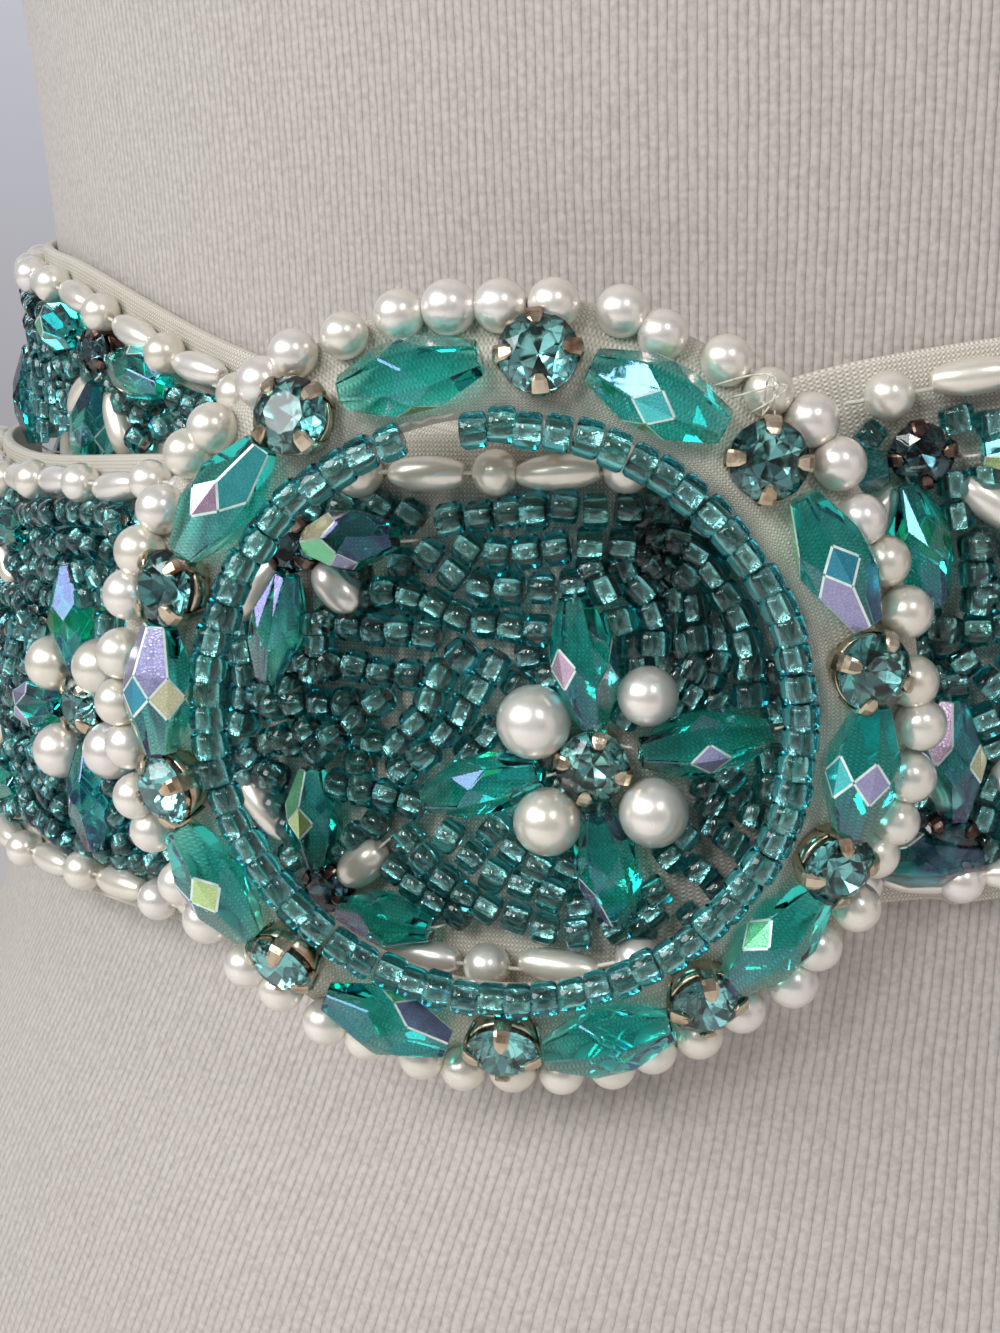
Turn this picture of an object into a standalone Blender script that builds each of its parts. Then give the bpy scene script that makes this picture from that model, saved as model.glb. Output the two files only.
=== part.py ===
"""Beaded belt with a round buckle, fastened round a limbless dress form.

Units are metres and +Z is up. The form faces -Y and stands on its flat base at z = 0.
The strap is one long band of cloth. Its place is given by s, the length along the waist
from the buckle's middle, by t, the height across the band, and by the distance out from
the form. The band runs from the tail's end, through the buckle, round the right side and
the back, and comes to the buckle again from the left, where it folds round the bar.
"""
import math

import bmesh
import bpy
import numpy as np
from mathutils import Vector

MM = 0.001

# The dress form
WAIST_HEIGHT = 250.0 * MM
FORM_SEGMENTS = 32
FORM_SECTIONS = (
    # height, half width, half depth, middle's y, squareness
    (0.0, 150.0, 118.0, 6.0, 2.15),
    (8.0, 157.0, 124.0, 6.0, 2.15),
    (45.0, 164.0, 129.0, 6.0, 2.15),
    (90.0, 161.0, 126.0, 5.0, 2.15),
    (140.0, 149.0, 118.0, 3.0, 2.1),
    (180.0, 135.5, 109.0, 1.5, 2.1),
    (206.0, 125.5, 102.6, 0.5, 2.05),
    (232.0, 116.2, 99.5, 0.0, 2.05),
    (270.0, 113.4, 99.0, 0.0, 2.05),
    (312.0, 116.0, 100.0, 0.0, 2.05),
    (350.0, 122.5, 103.5, -1.0, 2.1),
    (390.0, 131.0, 112.0, -5.0, 2.1),
    (425.0, 140.0, 119.0, -8.0, 2.1),
    (460.0, 147.0, 116.0, -5.0, 2.1),
    (500.0, 155.0, 105.0, 2.0, 2.15),
    (535.0, 164.0, 92.0, 8.0, 2.2),
    (560.0, 160.0, 80.0, 12.0, 2.2),
    (574.0, 138.0, 70.0, 14.0, 2.2),
    (585.0, 104.0, 60.0, 15.0, 2.15),
    (596.0, 72.0, 54.0, 14.0, 2.1),
    (612.0, 57.0, 52.0, 12.0, 2.0),
    (640.0, 53.0, 51.0, 9.0, 2.0),
    (660.0, 53.5, 52.0, 7.0, 2.0),
    (667.0, 50.0, 48.5, 7.0, 2.0),
    (670.0, 40.0, 39.0, 7.0, 2.0),
)

# The strap
STRAP_HEIGHT = 51.0 * MM
STRAP_WALL = 1.4 * MM
BUCKLE_X = -48.5 * MM
TAIL_END = -120.0 * MM
SPLIT_AT = 31.0 * MM
SEAM_GAP = 0.3 * MM
FOLD_BACK = 9.0 * MM
TAIL_ROUND = 5.0 * MM
PLAIN_EDGE = 1.2 * MM
PLAIN_BEFORE_BAR = 20.0 * MM
UNDER_MARGIN = 1.6 * MM
FRONT_ROW_SPACING = 2.6 * MM
WAIST_ROW_SPACING = 6.2 * MM
INNER_STRIPS = 2
STRAP_RISE = (
    # s, height of the band's middle over the waist line
    (-120.0, -7.0),
    (-75.0, -7.0),
    (-40.0, -4.8),
    (-15.0, -3.0),
    (10.0, -2.0),
    (32.0, 4.8),
    (50.0, 7.5),
    (100.0, 11.5),
    (200.0, 15.0),
    (330.0, 16.0),
    (460.0, 15.5),
)
WRAP_RISE_LEFT = (
    # s before the bar, height of the band's middle over the waist line
    (130.0, 16.0),
    (80.0, 13.5),
    (45.0, 5.0),
    (22.0, -1.0),
    (6.0, -3.0),
    (-6.0, -3.0),
)
STRAP_STANDOFF = (
    # s, distance from the form to the band's inner face
    (-120.0, 7.5),
    (-75.0, 7.5),
    (-40.0, 7.8),
    (-20.0, 7.2),
    (-5.0, 6.6),
    (3.0, 6.3),
    (22.0, 0.5),
    (27.0, 0.4),
    (32.0, 0.4),
)
STRAP_WIDTH_SHARE = (
    # s, share of the full height that the band has there
    (-120.0, 0.91),
    (-75.0, 0.92),
    (-35.0, 0.94),
    (-8.0, 1.0),
    (32.0, 1.0),
)
WRAP_STANDOFF = 0.4 * MM

# Beads that are large enough to be raised in the cloth's outer points
REPEAT = 57.4 * MM
FIRST_FLOWER = 6.6 * MM
EDGE_LINE = 22.4 * MM
EDGE_START = -4.9 * MM
ROUND_PEARL = 4.2 * MM
RICE_LENGTH = 7.8 * MM
RICE_WIDTH = 3.3 * MM
EDGE_PERIOD = ROUND_PEARL + RICE_LENGTH
HALF_FLOWER_T = 16.0 * MM
FULL_FLOWER_T = -3.2 * MM
FLOWER_TURN = math.radians(8.0)
FLOWER_PARTS = (
    # angle, distance from the middle, half length, half width, raised height
    (0.0, 0.0, 3.7, 3.7, 4.8),
    (0.0, 9.7, 6.0, 3.0, 5.2),
    (90.0, 9.7, 6.0, 3.0, 5.2),
    (180.0, 9.7, 6.0, 3.0, 5.2),
    (270.0, 9.7, 6.0, 3.0, 5.2),
    (45.0, 6.8, 3.1, 3.1, 5.6),
    (135.0, 6.8, 3.1, 3.1, 5.6),
    (225.0, 6.8, 3.1, 3.1, 5.6),
    (315.0, 6.8, 3.1, 3.1, 5.6),
)
HALF_FLOWER_PARTS = (
    # angle from straight up, for the flower under the band's top edge
    (0.0, 0.0, 3.2, 3.2, 4.4),
    (-90.0, 8.8, 5.6, 2.7, 4.6),
    (90.0, 8.8, 5.6, 2.7, 4.6),
    (180.0, 9.2, 5.6, 2.7, 4.6),
    (-135.0, 6.6, 3.9, 1.7, 2.8),
    (135.0, 6.6, 3.9, 1.7, 2.8),
)

# The buckle
RING_YAW = math.radians(7.0)
RING_TILT = math.radians(2.5)
RING_STANDOFF = 14.2 * MM
RING_SLOPE = math.tan(math.radians(22.0))
RING_BASE = 2.0 * MM
RING_INNER = 24.6 * MM
SEED_RADIUS = 26.3 * MM
SEED_RAISE = 2.1 * MM
STONE_RADIUS = 31.4 * MM
OVAL_RADIUS = 30.6 * MM
RING_OUTER = 35.4 * MM
PEARL_RADIUS = 35.1 * MM
PEARL_OVERHANG = 1.7 * MM
RING_PEARLS = 48
COLUMNS_PER_PEARL = 3
STONE_ANGLES = (5.4, 43.7, 80.5, 113.1, 144.9, 180.4, 220.7, 256.4, 290.6, 325.7)
STONE_SIZE = (3.7, 3.7, 5.2)
OVAL_SIZE = (6.0, 3.1, 5.2)
BAR_DIAMETER = 2.4 * MM
BAR_REACH = 28.2 * MM
BAR_SEGMENTS = 12
BAR_STATIONS = 9
BAR_BEND = 1.4 * MM
BAR_END_GAP = 0.8 * MM


def clear_scene():
    """Remove whatever the file holds."""
    for obj in list(bpy.data.objects):
        bpy.data.objects.remove(obj, do_unlink=True)


def make_material(name, colour, roughness, metallic=0.0):
    """One Principled material."""
    material = bpy.data.materials.new(name)
    material.use_nodes = True
    shader = material.node_tree.nodes["Principled BSDF"]
    shader.inputs["Base Color"].default_value = (*colour, 1.0)
    shader.inputs["Roughness"].default_value = roughness
    shader.inputs["Metallic"].default_value = metallic
    return material


def make_object(name, points, faces, material, smooth=True):
    """A mesh object with its faces turned outward."""
    mesh = bpy.data.meshes.new(name)
    mesh.from_pydata([tuple(p) for p in points], [], faces)
    work = bmesh.new()
    work.from_mesh(mesh)
    bmesh.ops.recalc_face_normals(work, faces=work.faces)
    work.to_mesh(mesh)
    work.free()
    mesh.materials.append(material)
    if smooth:
        mesh.shade_smooth()
    obj = bpy.data.objects.new(name, mesh)
    bpy.context.scene.collection.objects.link(obj)
    return obj


def smooth_curve(table, column, at):
    """A cubic through a table's rows without overshoot, read at the places given."""
    rows = np.array([row[:] for row in table])
    x = rows[:, 0]
    y = rows[:, column]
    step = np.diff(x)
    slope = np.diff(y) / step
    bend = np.zeros(len(x))
    same_way = slope[:-1] * slope[1:] > 0
    mean = 2.0 * slope[:-1] * slope[1:] / np.where(same_way, slope[:-1] + slope[1:], 1.0)
    bend[1:-1] = np.where(same_way, mean, 0.0)
    bend[0] = slope[0]
    bend[-1] = slope[-1]
    at = np.clip(at, x[0], x[-1])
    i = np.clip(np.searchsorted(x, at) - 1, 0, len(x) - 2)
    u = (at - x[i]) / step[i]
    start = y[i] * (1 + 2 * u) * (1 - u) ** 2 + step[i] * bend[i] * u * (1 - u) ** 2
    end = y[i + 1] * u ** 2 * (3 - 2 * u) + step[i] * bend[i + 1] * u ** 2 * (u - 1)
    return start + end


def section(z):
    """Half width, half depth, middle's y and squareness of the form at each height."""
    height = np.asarray(z) / MM
    width = smooth_curve(FORM_SECTIONS, 1, height) * MM
    depth = smooth_curve(FORM_SECTIONS, 2, height) * MM
    middle = smooth_curve(FORM_SECTIONS, 3, height) * MM
    square = smooth_curve(FORM_SECTIONS, 4, height)
    return width, depth, middle, square


def form_point(turn, z):
    """A point of the form's surface and the outward direction there, seen from above."""
    width, depth, middle, square = section(z)
    across = np.cos(turn)
    along = np.sin(turn)
    x = np.sign(across) * np.abs(across) ** (2 / square)
    y = np.sign(along) * np.abs(along) ** (2 / square)
    out_x = np.sign(x) * np.abs(x) ** (square - 1) / width
    out_y = np.sign(y) * np.abs(y) ** (square - 1) / depth
    size = np.hypot(out_x, out_y)
    return x * width, middle + y * depth, out_x / size, out_y / size


def waist_table():
    """Turn round the form against length along its waist, for three times round."""
    turn = np.linspace(-3 * math.pi, 3 * math.pi, 3 * 1440 + 1)
    x, y, _, _ = form_point(turn, np.full(turn.shape, WAIST_HEIGHT))
    length = np.concatenate(([0.0], np.cumsum(np.hypot(np.diff(x), np.diff(y)))))
    front_left = (turn > -math.pi) & (turn < -0.5 * math.pi)
    start = np.interp(BUCKLE_X, x[front_left], length[front_left])
    return length - start, turn, length[-1] / 3


WAIST_S, WAIST_TURN, WAIST_LENGTH = waist_table()


def rise(s):
    """Height of the band's middle over the waist line."""
    left = [(WAIST_LENGTH / MM - before, height) for before, height in WRAP_RISE_LEFT]
    table = tuple(STRAP_RISE) + tuple(left)
    return smooth_curve(table, 1, np.asarray(s) / MM) * MM


def band_point(s, t, out):
    """The point at length s and height t of the band, this far out from the form."""
    s = np.asarray(s, dtype=float)
    small = 0.5 * MM
    lean = np.arctan2(rise(s + small) - rise(s - small), 2 * small)
    z = WAIST_HEIGHT + rise(s) + t * np.cos(lean)
    turn = np.interp(s - t * np.sin(lean), WAIST_S, WAIST_TURN)
    x, y, out_x, out_y = form_point(turn, z)
    return np.stack((x + out_x * out, y + out_y * out, z), axis=-1)


def standoff(s):
    """Distance from the form to the inner face of the stretch through the buckle."""
    return smooth_curve(STRAP_STANDOFF, 1, np.asarray(s) / MM) * MM


def width_share(s):
    """Share of the full height that the band has; it tapers a little to the tail."""
    return smooth_curve(STRAP_WIDTH_SHARE, 1, np.asarray(s) / MM)


def dome(ds, dt, half_length, half_width, height, angle=0.0):
    """Height of one bead's round top over the cloth, nought outside its outline."""
    along = ds * math.cos(angle) + dt * math.sin(angle)
    across = dt * math.cos(angle) - ds * math.sin(angle)
    inside = 1.0 - (along / half_length) ** 2 - (across / half_width) ** 2
    return height * np.sqrt(np.clip(inside, 0.0, 1.0))


def flower(ds, dt, parts, turn):
    """Height of a flower of beads round the point ds = dt = 0."""
    height = np.zeros(np.broadcast(ds, dt).shape)
    for angle, distance, half_length, half_width, raised in parts:
        way = math.radians(angle) + turn
        part_s = ds - distance * MM * math.cos(way)
        part_t = dt - distance * MM * math.sin(way)
        bead = dome(part_s, part_t, half_length * MM, half_width * MM, raised * MM, way)
        height = np.maximum(height, bead)
    return height


def bead_height(s, t):
    """Height of the large beads over the band's cloth."""
    upside = np.abs(t)
    place = np.mod(s - EDGE_START, EDGE_PERIOD)
    round_pearl = dome(place - ROUND_PEARL / 2, upside - EDGE_LINE,
                       ROUND_PEARL / 2, ROUND_PEARL / 2, ROUND_PEARL)
    rice = dome(place - ROUND_PEARL - RICE_LENGTH / 2, upside - EDGE_LINE,
                RICE_LENGTH / 2, RICE_WIDTH / 2, RICE_WIDTH)
    full = np.mod(s - FIRST_FLOWER + REPEAT / 2, REPEAT) - REPEAT / 2
    half = np.mod(s - FIRST_FLOWER, REPEAT) - REPEAT / 2
    height = np.maximum(round_pearl, rice)
    height = np.maximum(height, flower(full, t - FULL_FLOWER_T, FLOWER_PARTS, FLOWER_TURN))
    down = flower(half, upside - HALF_FLOWER_T, HALF_FLOWER_PARTS, math.pi / 2)
    return np.maximum(height, down)


def band_rows(spacing):
    """Heights across the band: close together at the edge beads, even between them."""
    half = STRAP_HEIGHT / 2
    foot = EDGE_LINE - 0.55 * ROUND_PEARL
    edge = [half, EDGE_LINE + 0.9 * MM, EDGE_LINE - 0.9 * MM, foot]
    count = max(2, round(2 * foot / spacing))
    inner = [foot - 2 * foot * i / count for i in range(1, count)]
    return np.array(edge + inner + [-t for t in reversed(edge)])


def edge_columns(first, last, places):
    """Lengths at set places of each period of the edge beads, between first and last."""
    start = math.floor((first - EDGE_START) / EDGE_PERIOD) * EDGE_PERIOD + EDGE_START
    columns = [first]
    margin = 0.6 * MM
    for period in range(math.ceil((last - start) / EDGE_PERIOD) + 1):
        for place in places:
            s = start + period * EDGE_PERIOD + place
            if first + margin < s < last - margin:
                columns.append(s)
    columns.append(last)
    return np.array(columns)


def wall_mesh(outer, inner, shared):
    """Faces of a wall whose inner side has only the outer rows numbered in shared."""
    columns, rows = outer.shape[:2]
    inner_rows = len(shared)
    points = np.concatenate((outer.reshape(-1, 3), inner.reshape(-1, 3)))
    base = columns * rows

    def out(i, j):
        return i * rows + j

    def back(i, k):
        return base + i * inner_rows + k

    faces = []
    for i in range(columns - 1):
        for j in range(rows - 1):
            faces.append((out(i, j), out(i + 1, j), out(i + 1, j + 1), out(i, j + 1)))
        for k in range(inner_rows - 1):
            faces.append((back(i, k), back(i, k + 1), back(i + 1, k + 1), back(i + 1, k)))
        faces.append((out(i, 0), back(i, 0), back(i + 1, 0), out(i + 1, 0)))
        last = inner_rows - 1
        faces.append((out(i, rows - 1), out(i + 1, rows - 1), back(i + 1, last), back(i, last)))
    for i in (0, columns - 1):
        for k in range(inner_rows - 1):
            between = [out(i, j) for j in range(shared[k], shared[k + 1] + 1)]
            cap = between + [back(i, k + 1), back(i, k)]
            faces.append(tuple(cap) if i == 0 else tuple(reversed(cap)))
    return points, faces


def inner_row_numbers(rows, count):
    """Numbers of the rows that the plain inner side keeps, first and last with them."""
    return sorted({round(i * (rows - 1) / count) for i in range(count + 1)})


def build_form(material):
    """The smooth torso, closed at its flat base and at the neck."""
    heights = np.array([row[0] for row in FORM_SECTIONS])
    between = (heights[:-1] + heights[1:]) / 2
    wide = np.diff(heights) > 24.0
    z = np.sort(np.concatenate((heights, between[wide]))) * MM
    turn = np.linspace(0.0, 2 * math.pi, FORM_SEGMENTS, endpoint=False)
    x, y, _, _ = form_point(turn[None, :], z[:, None])
    level = np.broadcast_to(z[:, None], x.shape)
    points = np.stack((x, y, level), axis=-1).reshape(-1, 3)
    faces = [tuple(reversed(range(FORM_SEGMENTS)))]
    for ring in range(len(z) - 1):
        low = ring * FORM_SEGMENTS
        for i in range(FORM_SEGMENTS):
            j = (i + 1) % FORM_SEGMENTS
            high = low + FORM_SEGMENTS
            faces.append((low + i, low + j, high + j, high + i))
    top = (len(z) - 1) * FORM_SEGMENTS
    faces.append(tuple(range(top, top + FORM_SEGMENTS)))
    return make_object("dress_form", points, faces, material)


def build_front_strap(material):
    """The stretch that lies on the buckle's bar, with the free tail."""
    places = [EDGE_PERIOD * i / 6 for i in range(6)]
    s = edge_columns(TAIL_END, SPLIT_AT, places)[:, None]
    rows = band_rows(FRONT_ROW_SPACING)
    end_round = np.clip((s - TAIL_END) / TAIL_ROUND, 0.0, 1.0)
    t = rows[None, :] * width_share(s) * (0.9 + 0.1 * np.sqrt(1 - (1 - end_round) ** 2))
    near_end = np.clip((s - TAIL_END) / PLAIN_EDGE, 0.0, 1.0)
    near_split = np.clip((SPLIT_AT - s) / PLAIN_EDGE, 0.0, 1.0)
    raised = bead_height(s, rows[None, :]) * near_end * near_split
    outer = band_point(s + 0 * t, t, standoff(s) + STRAP_WALL + raised)
    shared = inner_row_numbers(len(rows), INNER_STRIPS)
    inner = band_point(s + 0 * t, t, standoff(s) + 0 * t)[:, shared]
    points, faces = wall_mesh(outer, inner, shared)
    return make_object("strap_through_buckle", points, faces, material)


def under_tail(s, z):
    """One where the tail lies over the band and nought clear above or below it."""
    tail_s = s - WAIST_LENGTH
    beside = np.abs(z - WAIST_HEIGHT - rise(tail_s)) - width_share(tail_s) * STRAP_HEIGHT / 2
    covered = np.clip((UNDER_MARGIN - beside) / PLAIN_EDGE, 0.0, 1.0)
    return np.where(tail_s > TAIL_END - UNDER_MARGIN, covered, 0.0)


def build_waist_strap(material):
    """The stretch round the right side, the back and the left, folded round the bar."""
    bar_out = WRAP_STANDOFF + STRAP_WALL + SEAM_GAP + BAR_DIAMETER / 2
    small = BAR_DIAMETER / 2 + SEAM_GAP
    large = small + STRAP_WALL
    first = SPLIT_AT + SEAM_GAP
    places = (0.0, ROUND_PEARL / 2, ROUND_PEARL, ROUND_PEARL + RICE_LENGTH / 2)
    s = edge_columns(first, WAIST_LENGTH - large, places)
    rows = band_rows(WAIST_ROW_SPACING)
    t = rows[None, :]
    lean_free = band_point(s[:, None] + 0 * t, t, 0 * t)
    raised = bead_height(s[:, None], t)
    raised = raised * (1.0 - under_tail(s[:, None], lean_free[..., 2]))
    raised = raised * np.clip((s[:, None] - first) / PLAIN_EDGE, 0.0, 1.0)
    raised = raised * (s[:, None] < WAIST_LENGTH - PLAIN_BEFORE_BAR)
    run_outer = band_point(s[:, None] + 0 * t, t, WRAP_STANDOFF + STRAP_WALL + raised)
    run_inner = band_point(s[:, None] + 0 * t, t, WRAP_STANDOFF + 0 * t)

    bends = np.radians(np.arange(-90.0, 91.0, 30.0))
    lift = np.append(np.sin(bends), 1.0)[:, None]
    near_s = WAIST_LENGTH + np.append(np.cos(bends) * small, -FOLD_BACK)[:, None]
    far_s = WAIST_LENGTH + np.append(np.cos(bends) * large, -FOLD_BACK)[:, None]
    fold_outer = band_point(near_s + 0 * t, t, bar_out + lift * small + 0 * t)
    fold_inner = band_point(far_s + 0 * t, t, bar_out + lift * large + 0 * t)
    outer = np.concatenate((run_outer, fold_outer))
    shared = inner_row_numbers(len(rows), INNER_STRIPS)
    inner = np.concatenate((run_inner, fold_inner))[:, shared]
    points, faces = wall_mesh(outer, inner, shared)
    return make_object("strap_round_waist", points, faces, material)


def ring_frame():
    """The ring's middle, its right, its up and its outward direction."""
    point = band_point(np.array(0.0), 0.0, RING_STANDOFF)
    level = math.cos(RING_TILT)
    out = Vector((-math.sin(RING_YAW) * level, -math.cos(RING_YAW) * level, -math.sin(RING_TILT)))
    right = Vector((math.cos(RING_YAW), -math.sin(RING_YAW), 0.0))
    up = right.cross(out) * -1.0
    middle = Vector((point[0], point[1], WAIST_HEIGHT))
    return middle, right, up, out


def ring_points(angle, radius, height):
    """Points in the ring's frame; the angle runs clockwise from the top."""
    middle, right, up, out = (np.array(v) for v in ring_frame())
    cone = height - (radius - STONE_RADIUS) * RING_SLOPE
    across = (radius * np.sin(angle))[..., None] * right
    upward = (radius * np.cos(angle))[..., None] * up
    return middle + across + upward + cone[..., None] * out


def ring_bead_height(angle, radius):
    """Height of the stones, and of the ovals halfway between them, over the ring's cloth."""
    height = np.zeros(np.broadcast(angle, radius).shape)
    count = len(STONE_ANGLES)
    for i, stone_angle in enumerate(STONE_ANGLES):
        next_angle = STONE_ANGLES[(i + 1) % count] + 360.0 * (i + 1 == count)
        middle_angle = (stone_angle + next_angle) / 2
        beads = ((stone_angle, STONE_RADIUS, STONE_SIZE), (middle_angle, OVAL_RADIUS, OVAL_SIZE))
        for turn, distance, size in beads:
            away = np.mod(angle - math.radians(turn) + math.pi, 2 * math.pi) - math.pi
            half_length, half_width, raised = (value * MM for value in size)
            bead = dome(distance * away, radius - distance, half_length, half_width, raised)
            height = np.maximum(height, bead)
    return height


def build_ring(material):
    """The cloth-covered ring with its stones, ovals, pearls and inner line raised."""
    columns = RING_PEARLS * COLUMNS_PER_PEARL
    angle = np.linspace(0.0, 2 * math.pi, columns, endpoint=False)[:, None]
    pearl = np.abs(np.cos(angle * RING_PEARLS / 2)) ** 1.5
    flat = 0 * angle
    profile = (
        # radius, height, and whether stones and ovals are raised there
        (RING_INNER + flat, flat, False),
        (RING_INNER + flat, RING_BASE + 0.6 * SEED_RAISE + flat, False),
        (SEED_RADIUS + flat, RING_BASE + SEED_RAISE + flat, False),
        (SEED_RADIUS + 1.7 * MM + flat, RING_BASE + flat, True),
        (OVAL_RADIUS - 0.9 * MM + flat, RING_BASE + flat, True),
        (STONE_RADIUS + 0.9 * MM + flat, RING_BASE + flat, True),
        (STONE_RADIUS + 2.4 * MM + flat, RING_BASE + 1.2 * MM * pearl, True),
        (PEARL_RADIUS + flat, RING_BASE + 3.2 * MM * pearl, False),
        (RING_OUTER + PEARL_OVERHANG * pearl, RING_BASE * 0.7 + 1.0 * MM * pearl, False),
        (RING_OUTER + flat, flat, False),
    )
    rings = []
    for radius, height, beads in profile:
        raised = ring_bead_height(angle, radius) if beads else flat
        rings.append(ring_points(angle, radius, np.maximum(height, RING_BASE * beads + raised)))
    points = np.concatenate(rings, axis=1).reshape(-1, 3)
    rows = len(profile)
    faces = []
    for i in range(columns):
        j = (i + 1) % columns
        for k in range(rows):
            m = (k + 1) % rows
            faces.append((i * rows + k, j * rows + k, j * rows + m, i * rows + m))
    return make_object("buckle_ring", points, faces, material)


def build_bar(material):
    """The rod behind the ring that the strap folds round, bent out to it at both ends."""
    bar_out = WRAP_STANDOFF + STRAP_WALL + SEAM_GAP + BAR_DIAMETER / 2
    middle, _, up, out = ring_frame()
    radius = BAR_DIAMETER / 2
    straight = BAR_REACH - BAR_BEND
    heights = np.linspace(straight, -straight, BAR_STATIONS)
    run = [Vector(band_point(np.array(WAIST_LENGTH), t, bar_out)) for t in heights]
    behind_ring = -(BAR_REACH - STONE_RADIUS) * RING_SLOPE - SEAM_GAP - BAR_END_GAP
    legs = []
    for way, last in ((1.0, run[0]), (-1.0, run[-1])):
        end = middle + up * (way * BAR_REACH) + out * behind_ring
        corner = Vector((last.x, last.y, last.z + way * BAR_BEND))
        legs.append((end, corner + (end - corner).normalized() * BAR_BEND))
    route = [*legs[0], *run, *reversed(legs[1])]
    points = []
    side = Vector((1.0, 0.0, 0.0))
    for i, place in enumerate(route):
        ahead = route[min(i + 1, len(route) - 1)]
        behind = route[max(i - 1, 0)]
        along = (ahead - behind).normalized()
        across = (side - along * side.dot(along)).normalized()
        third = along.cross(across)
        for k in range(BAR_SEGMENTS):
            turn = 2 * math.pi * k / BAR_SEGMENTS
            points.append(place + (across * math.cos(turn) + third * math.sin(turn)) * radius)
    faces = [tuple(range(BAR_SEGMENTS))]
    for i in range(len(route) - 1):
        for k in range(BAR_SEGMENTS):
            m = (k + 1) % BAR_SEGMENTS
            low = i * BAR_SEGMENTS
            high = low + BAR_SEGMENTS
            faces.append((low + k, high + k, high + m, low + m))
    start = (len(route) - 1) * BAR_SEGMENTS
    faces.append(tuple(reversed(range(start, start + BAR_SEGMENTS))))
    return make_object("buckle_bar", points, faces, material)


def main():
    """Build every piece."""
    clear_scene()
    jersey = make_material("rib_jersey", (0.80, 0.77, 0.70), 0.9)
    beads = make_material("beaded_band", (0.10, 0.45, 0.45), 0.35)
    ring = make_material("beaded_ring", (0.55, 0.72, 0.66), 0.35)
    brass = make_material("brass", (0.70, 0.52, 0.32), 0.3, 1.0)
    build_form(jersey)
    build_front_strap(beads)
    build_waist_strap(beads)
    build_ring(ring)
    build_bar(brass)


main()
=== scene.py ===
"""Looks of the beaded belt and the dress form that it is fastened round.

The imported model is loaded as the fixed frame. Places on the belt are given as in the part's
source: s is the length along the waist from the buckle's middle, t the height across the
band, and out the distance from the form. Places on the buckle are an angle clockwise from
the top, a radius and a height. Lengths in tables are in millimetres.
"""

import math

import bmesh
import bpy
import numpy as np
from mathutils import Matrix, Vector

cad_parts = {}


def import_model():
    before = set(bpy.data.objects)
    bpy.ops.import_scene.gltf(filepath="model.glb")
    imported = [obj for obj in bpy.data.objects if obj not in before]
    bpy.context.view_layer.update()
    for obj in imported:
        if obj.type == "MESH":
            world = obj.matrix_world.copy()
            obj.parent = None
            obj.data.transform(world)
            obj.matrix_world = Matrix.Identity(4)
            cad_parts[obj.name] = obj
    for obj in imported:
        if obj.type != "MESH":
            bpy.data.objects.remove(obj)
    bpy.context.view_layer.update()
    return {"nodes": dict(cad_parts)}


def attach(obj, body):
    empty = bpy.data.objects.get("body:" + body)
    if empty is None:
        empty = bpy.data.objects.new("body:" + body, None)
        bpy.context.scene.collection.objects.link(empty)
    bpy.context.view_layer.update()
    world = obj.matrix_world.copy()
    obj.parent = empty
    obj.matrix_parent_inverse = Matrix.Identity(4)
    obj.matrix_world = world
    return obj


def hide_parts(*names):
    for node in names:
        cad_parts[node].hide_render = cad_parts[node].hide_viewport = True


MM = 0.001
RANDOM = np.random.default_rng(20)
# About a full turn, for beads that lie at any angle
ANY_TURN = 6.3

# The dress form, as in the part's source
WAIST_HEIGHT = 250.0 * MM
FORM_TOP = 670.0
FORM_SECTIONS = (
    # height, half width, half depth, middle's y, squareness
    (0.0, 150.0, 118.0, 6.0, 2.15),
    (8.0, 157.0, 124.0, 6.0, 2.15),
    (45.0, 164.0, 129.0, 6.0, 2.15),
    (90.0, 161.0, 126.0, 5.0, 2.15),
    (140.0, 149.0, 118.0, 3.0, 2.1),
    (180.0, 135.5, 109.0, 1.5, 2.1),
    (206.0, 125.5, 102.6, 0.5, 2.05),
    (232.0, 116.2, 99.5, 0.0, 2.05),
    (270.0, 113.4, 99.0, 0.0, 2.05),
    (312.0, 116.0, 100.0, 0.0, 2.05),
    (350.0, 122.5, 103.5, -1.0, 2.1),
    (390.0, 131.0, 112.0, -5.0, 2.1),
    (425.0, 140.0, 119.0, -8.0, 2.1),
    (460.0, 147.0, 116.0, -5.0, 2.1),
    (500.0, 155.0, 105.0, 2.0, 2.15),
    (535.0, 164.0, 92.0, 8.0, 2.2),
    (560.0, 160.0, 80.0, 12.0, 2.2),
    (574.0, 138.0, 70.0, 14.0, 2.2),
    (585.0, 104.0, 60.0, 15.0, 2.15),
    (596.0, 72.0, 54.0, 14.0, 2.1),
    (612.0, 57.0, 52.0, 12.0, 2.0),
    (640.0, 53.0, 51.0, 9.0, 2.0),
    (660.0, 53.5, 52.0, 7.0, 2.0),
    (667.0, 50.0, 48.5, 7.0, 2.0),
    (670.0, 40.0, 39.0, 7.0, 2.0),
)
BOARD_RINGS = (
    # height, share of the form's size
    (0.0, 0.975),
    (0.6, 0.985),
    (6.0, 0.985),
    (7.0, 0.97),
)

# The knit's ribs round the form, and the threads of the woven cloth
RIB_COUNT = 780
STITCH_HEIGHT = 0.9 * MM
WARP_PITCH = 0.36 * MM
WEFT_PITCH = 0.414 * MM
RIB_SPREAD = (
    # height, share by which the ribs are further apart
    (0.0, 0.20),
    (150.0, 0.16),
    (215.0, 0.08),
    (265.0, 0.0),
    (670.0, 0.0),
)

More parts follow.
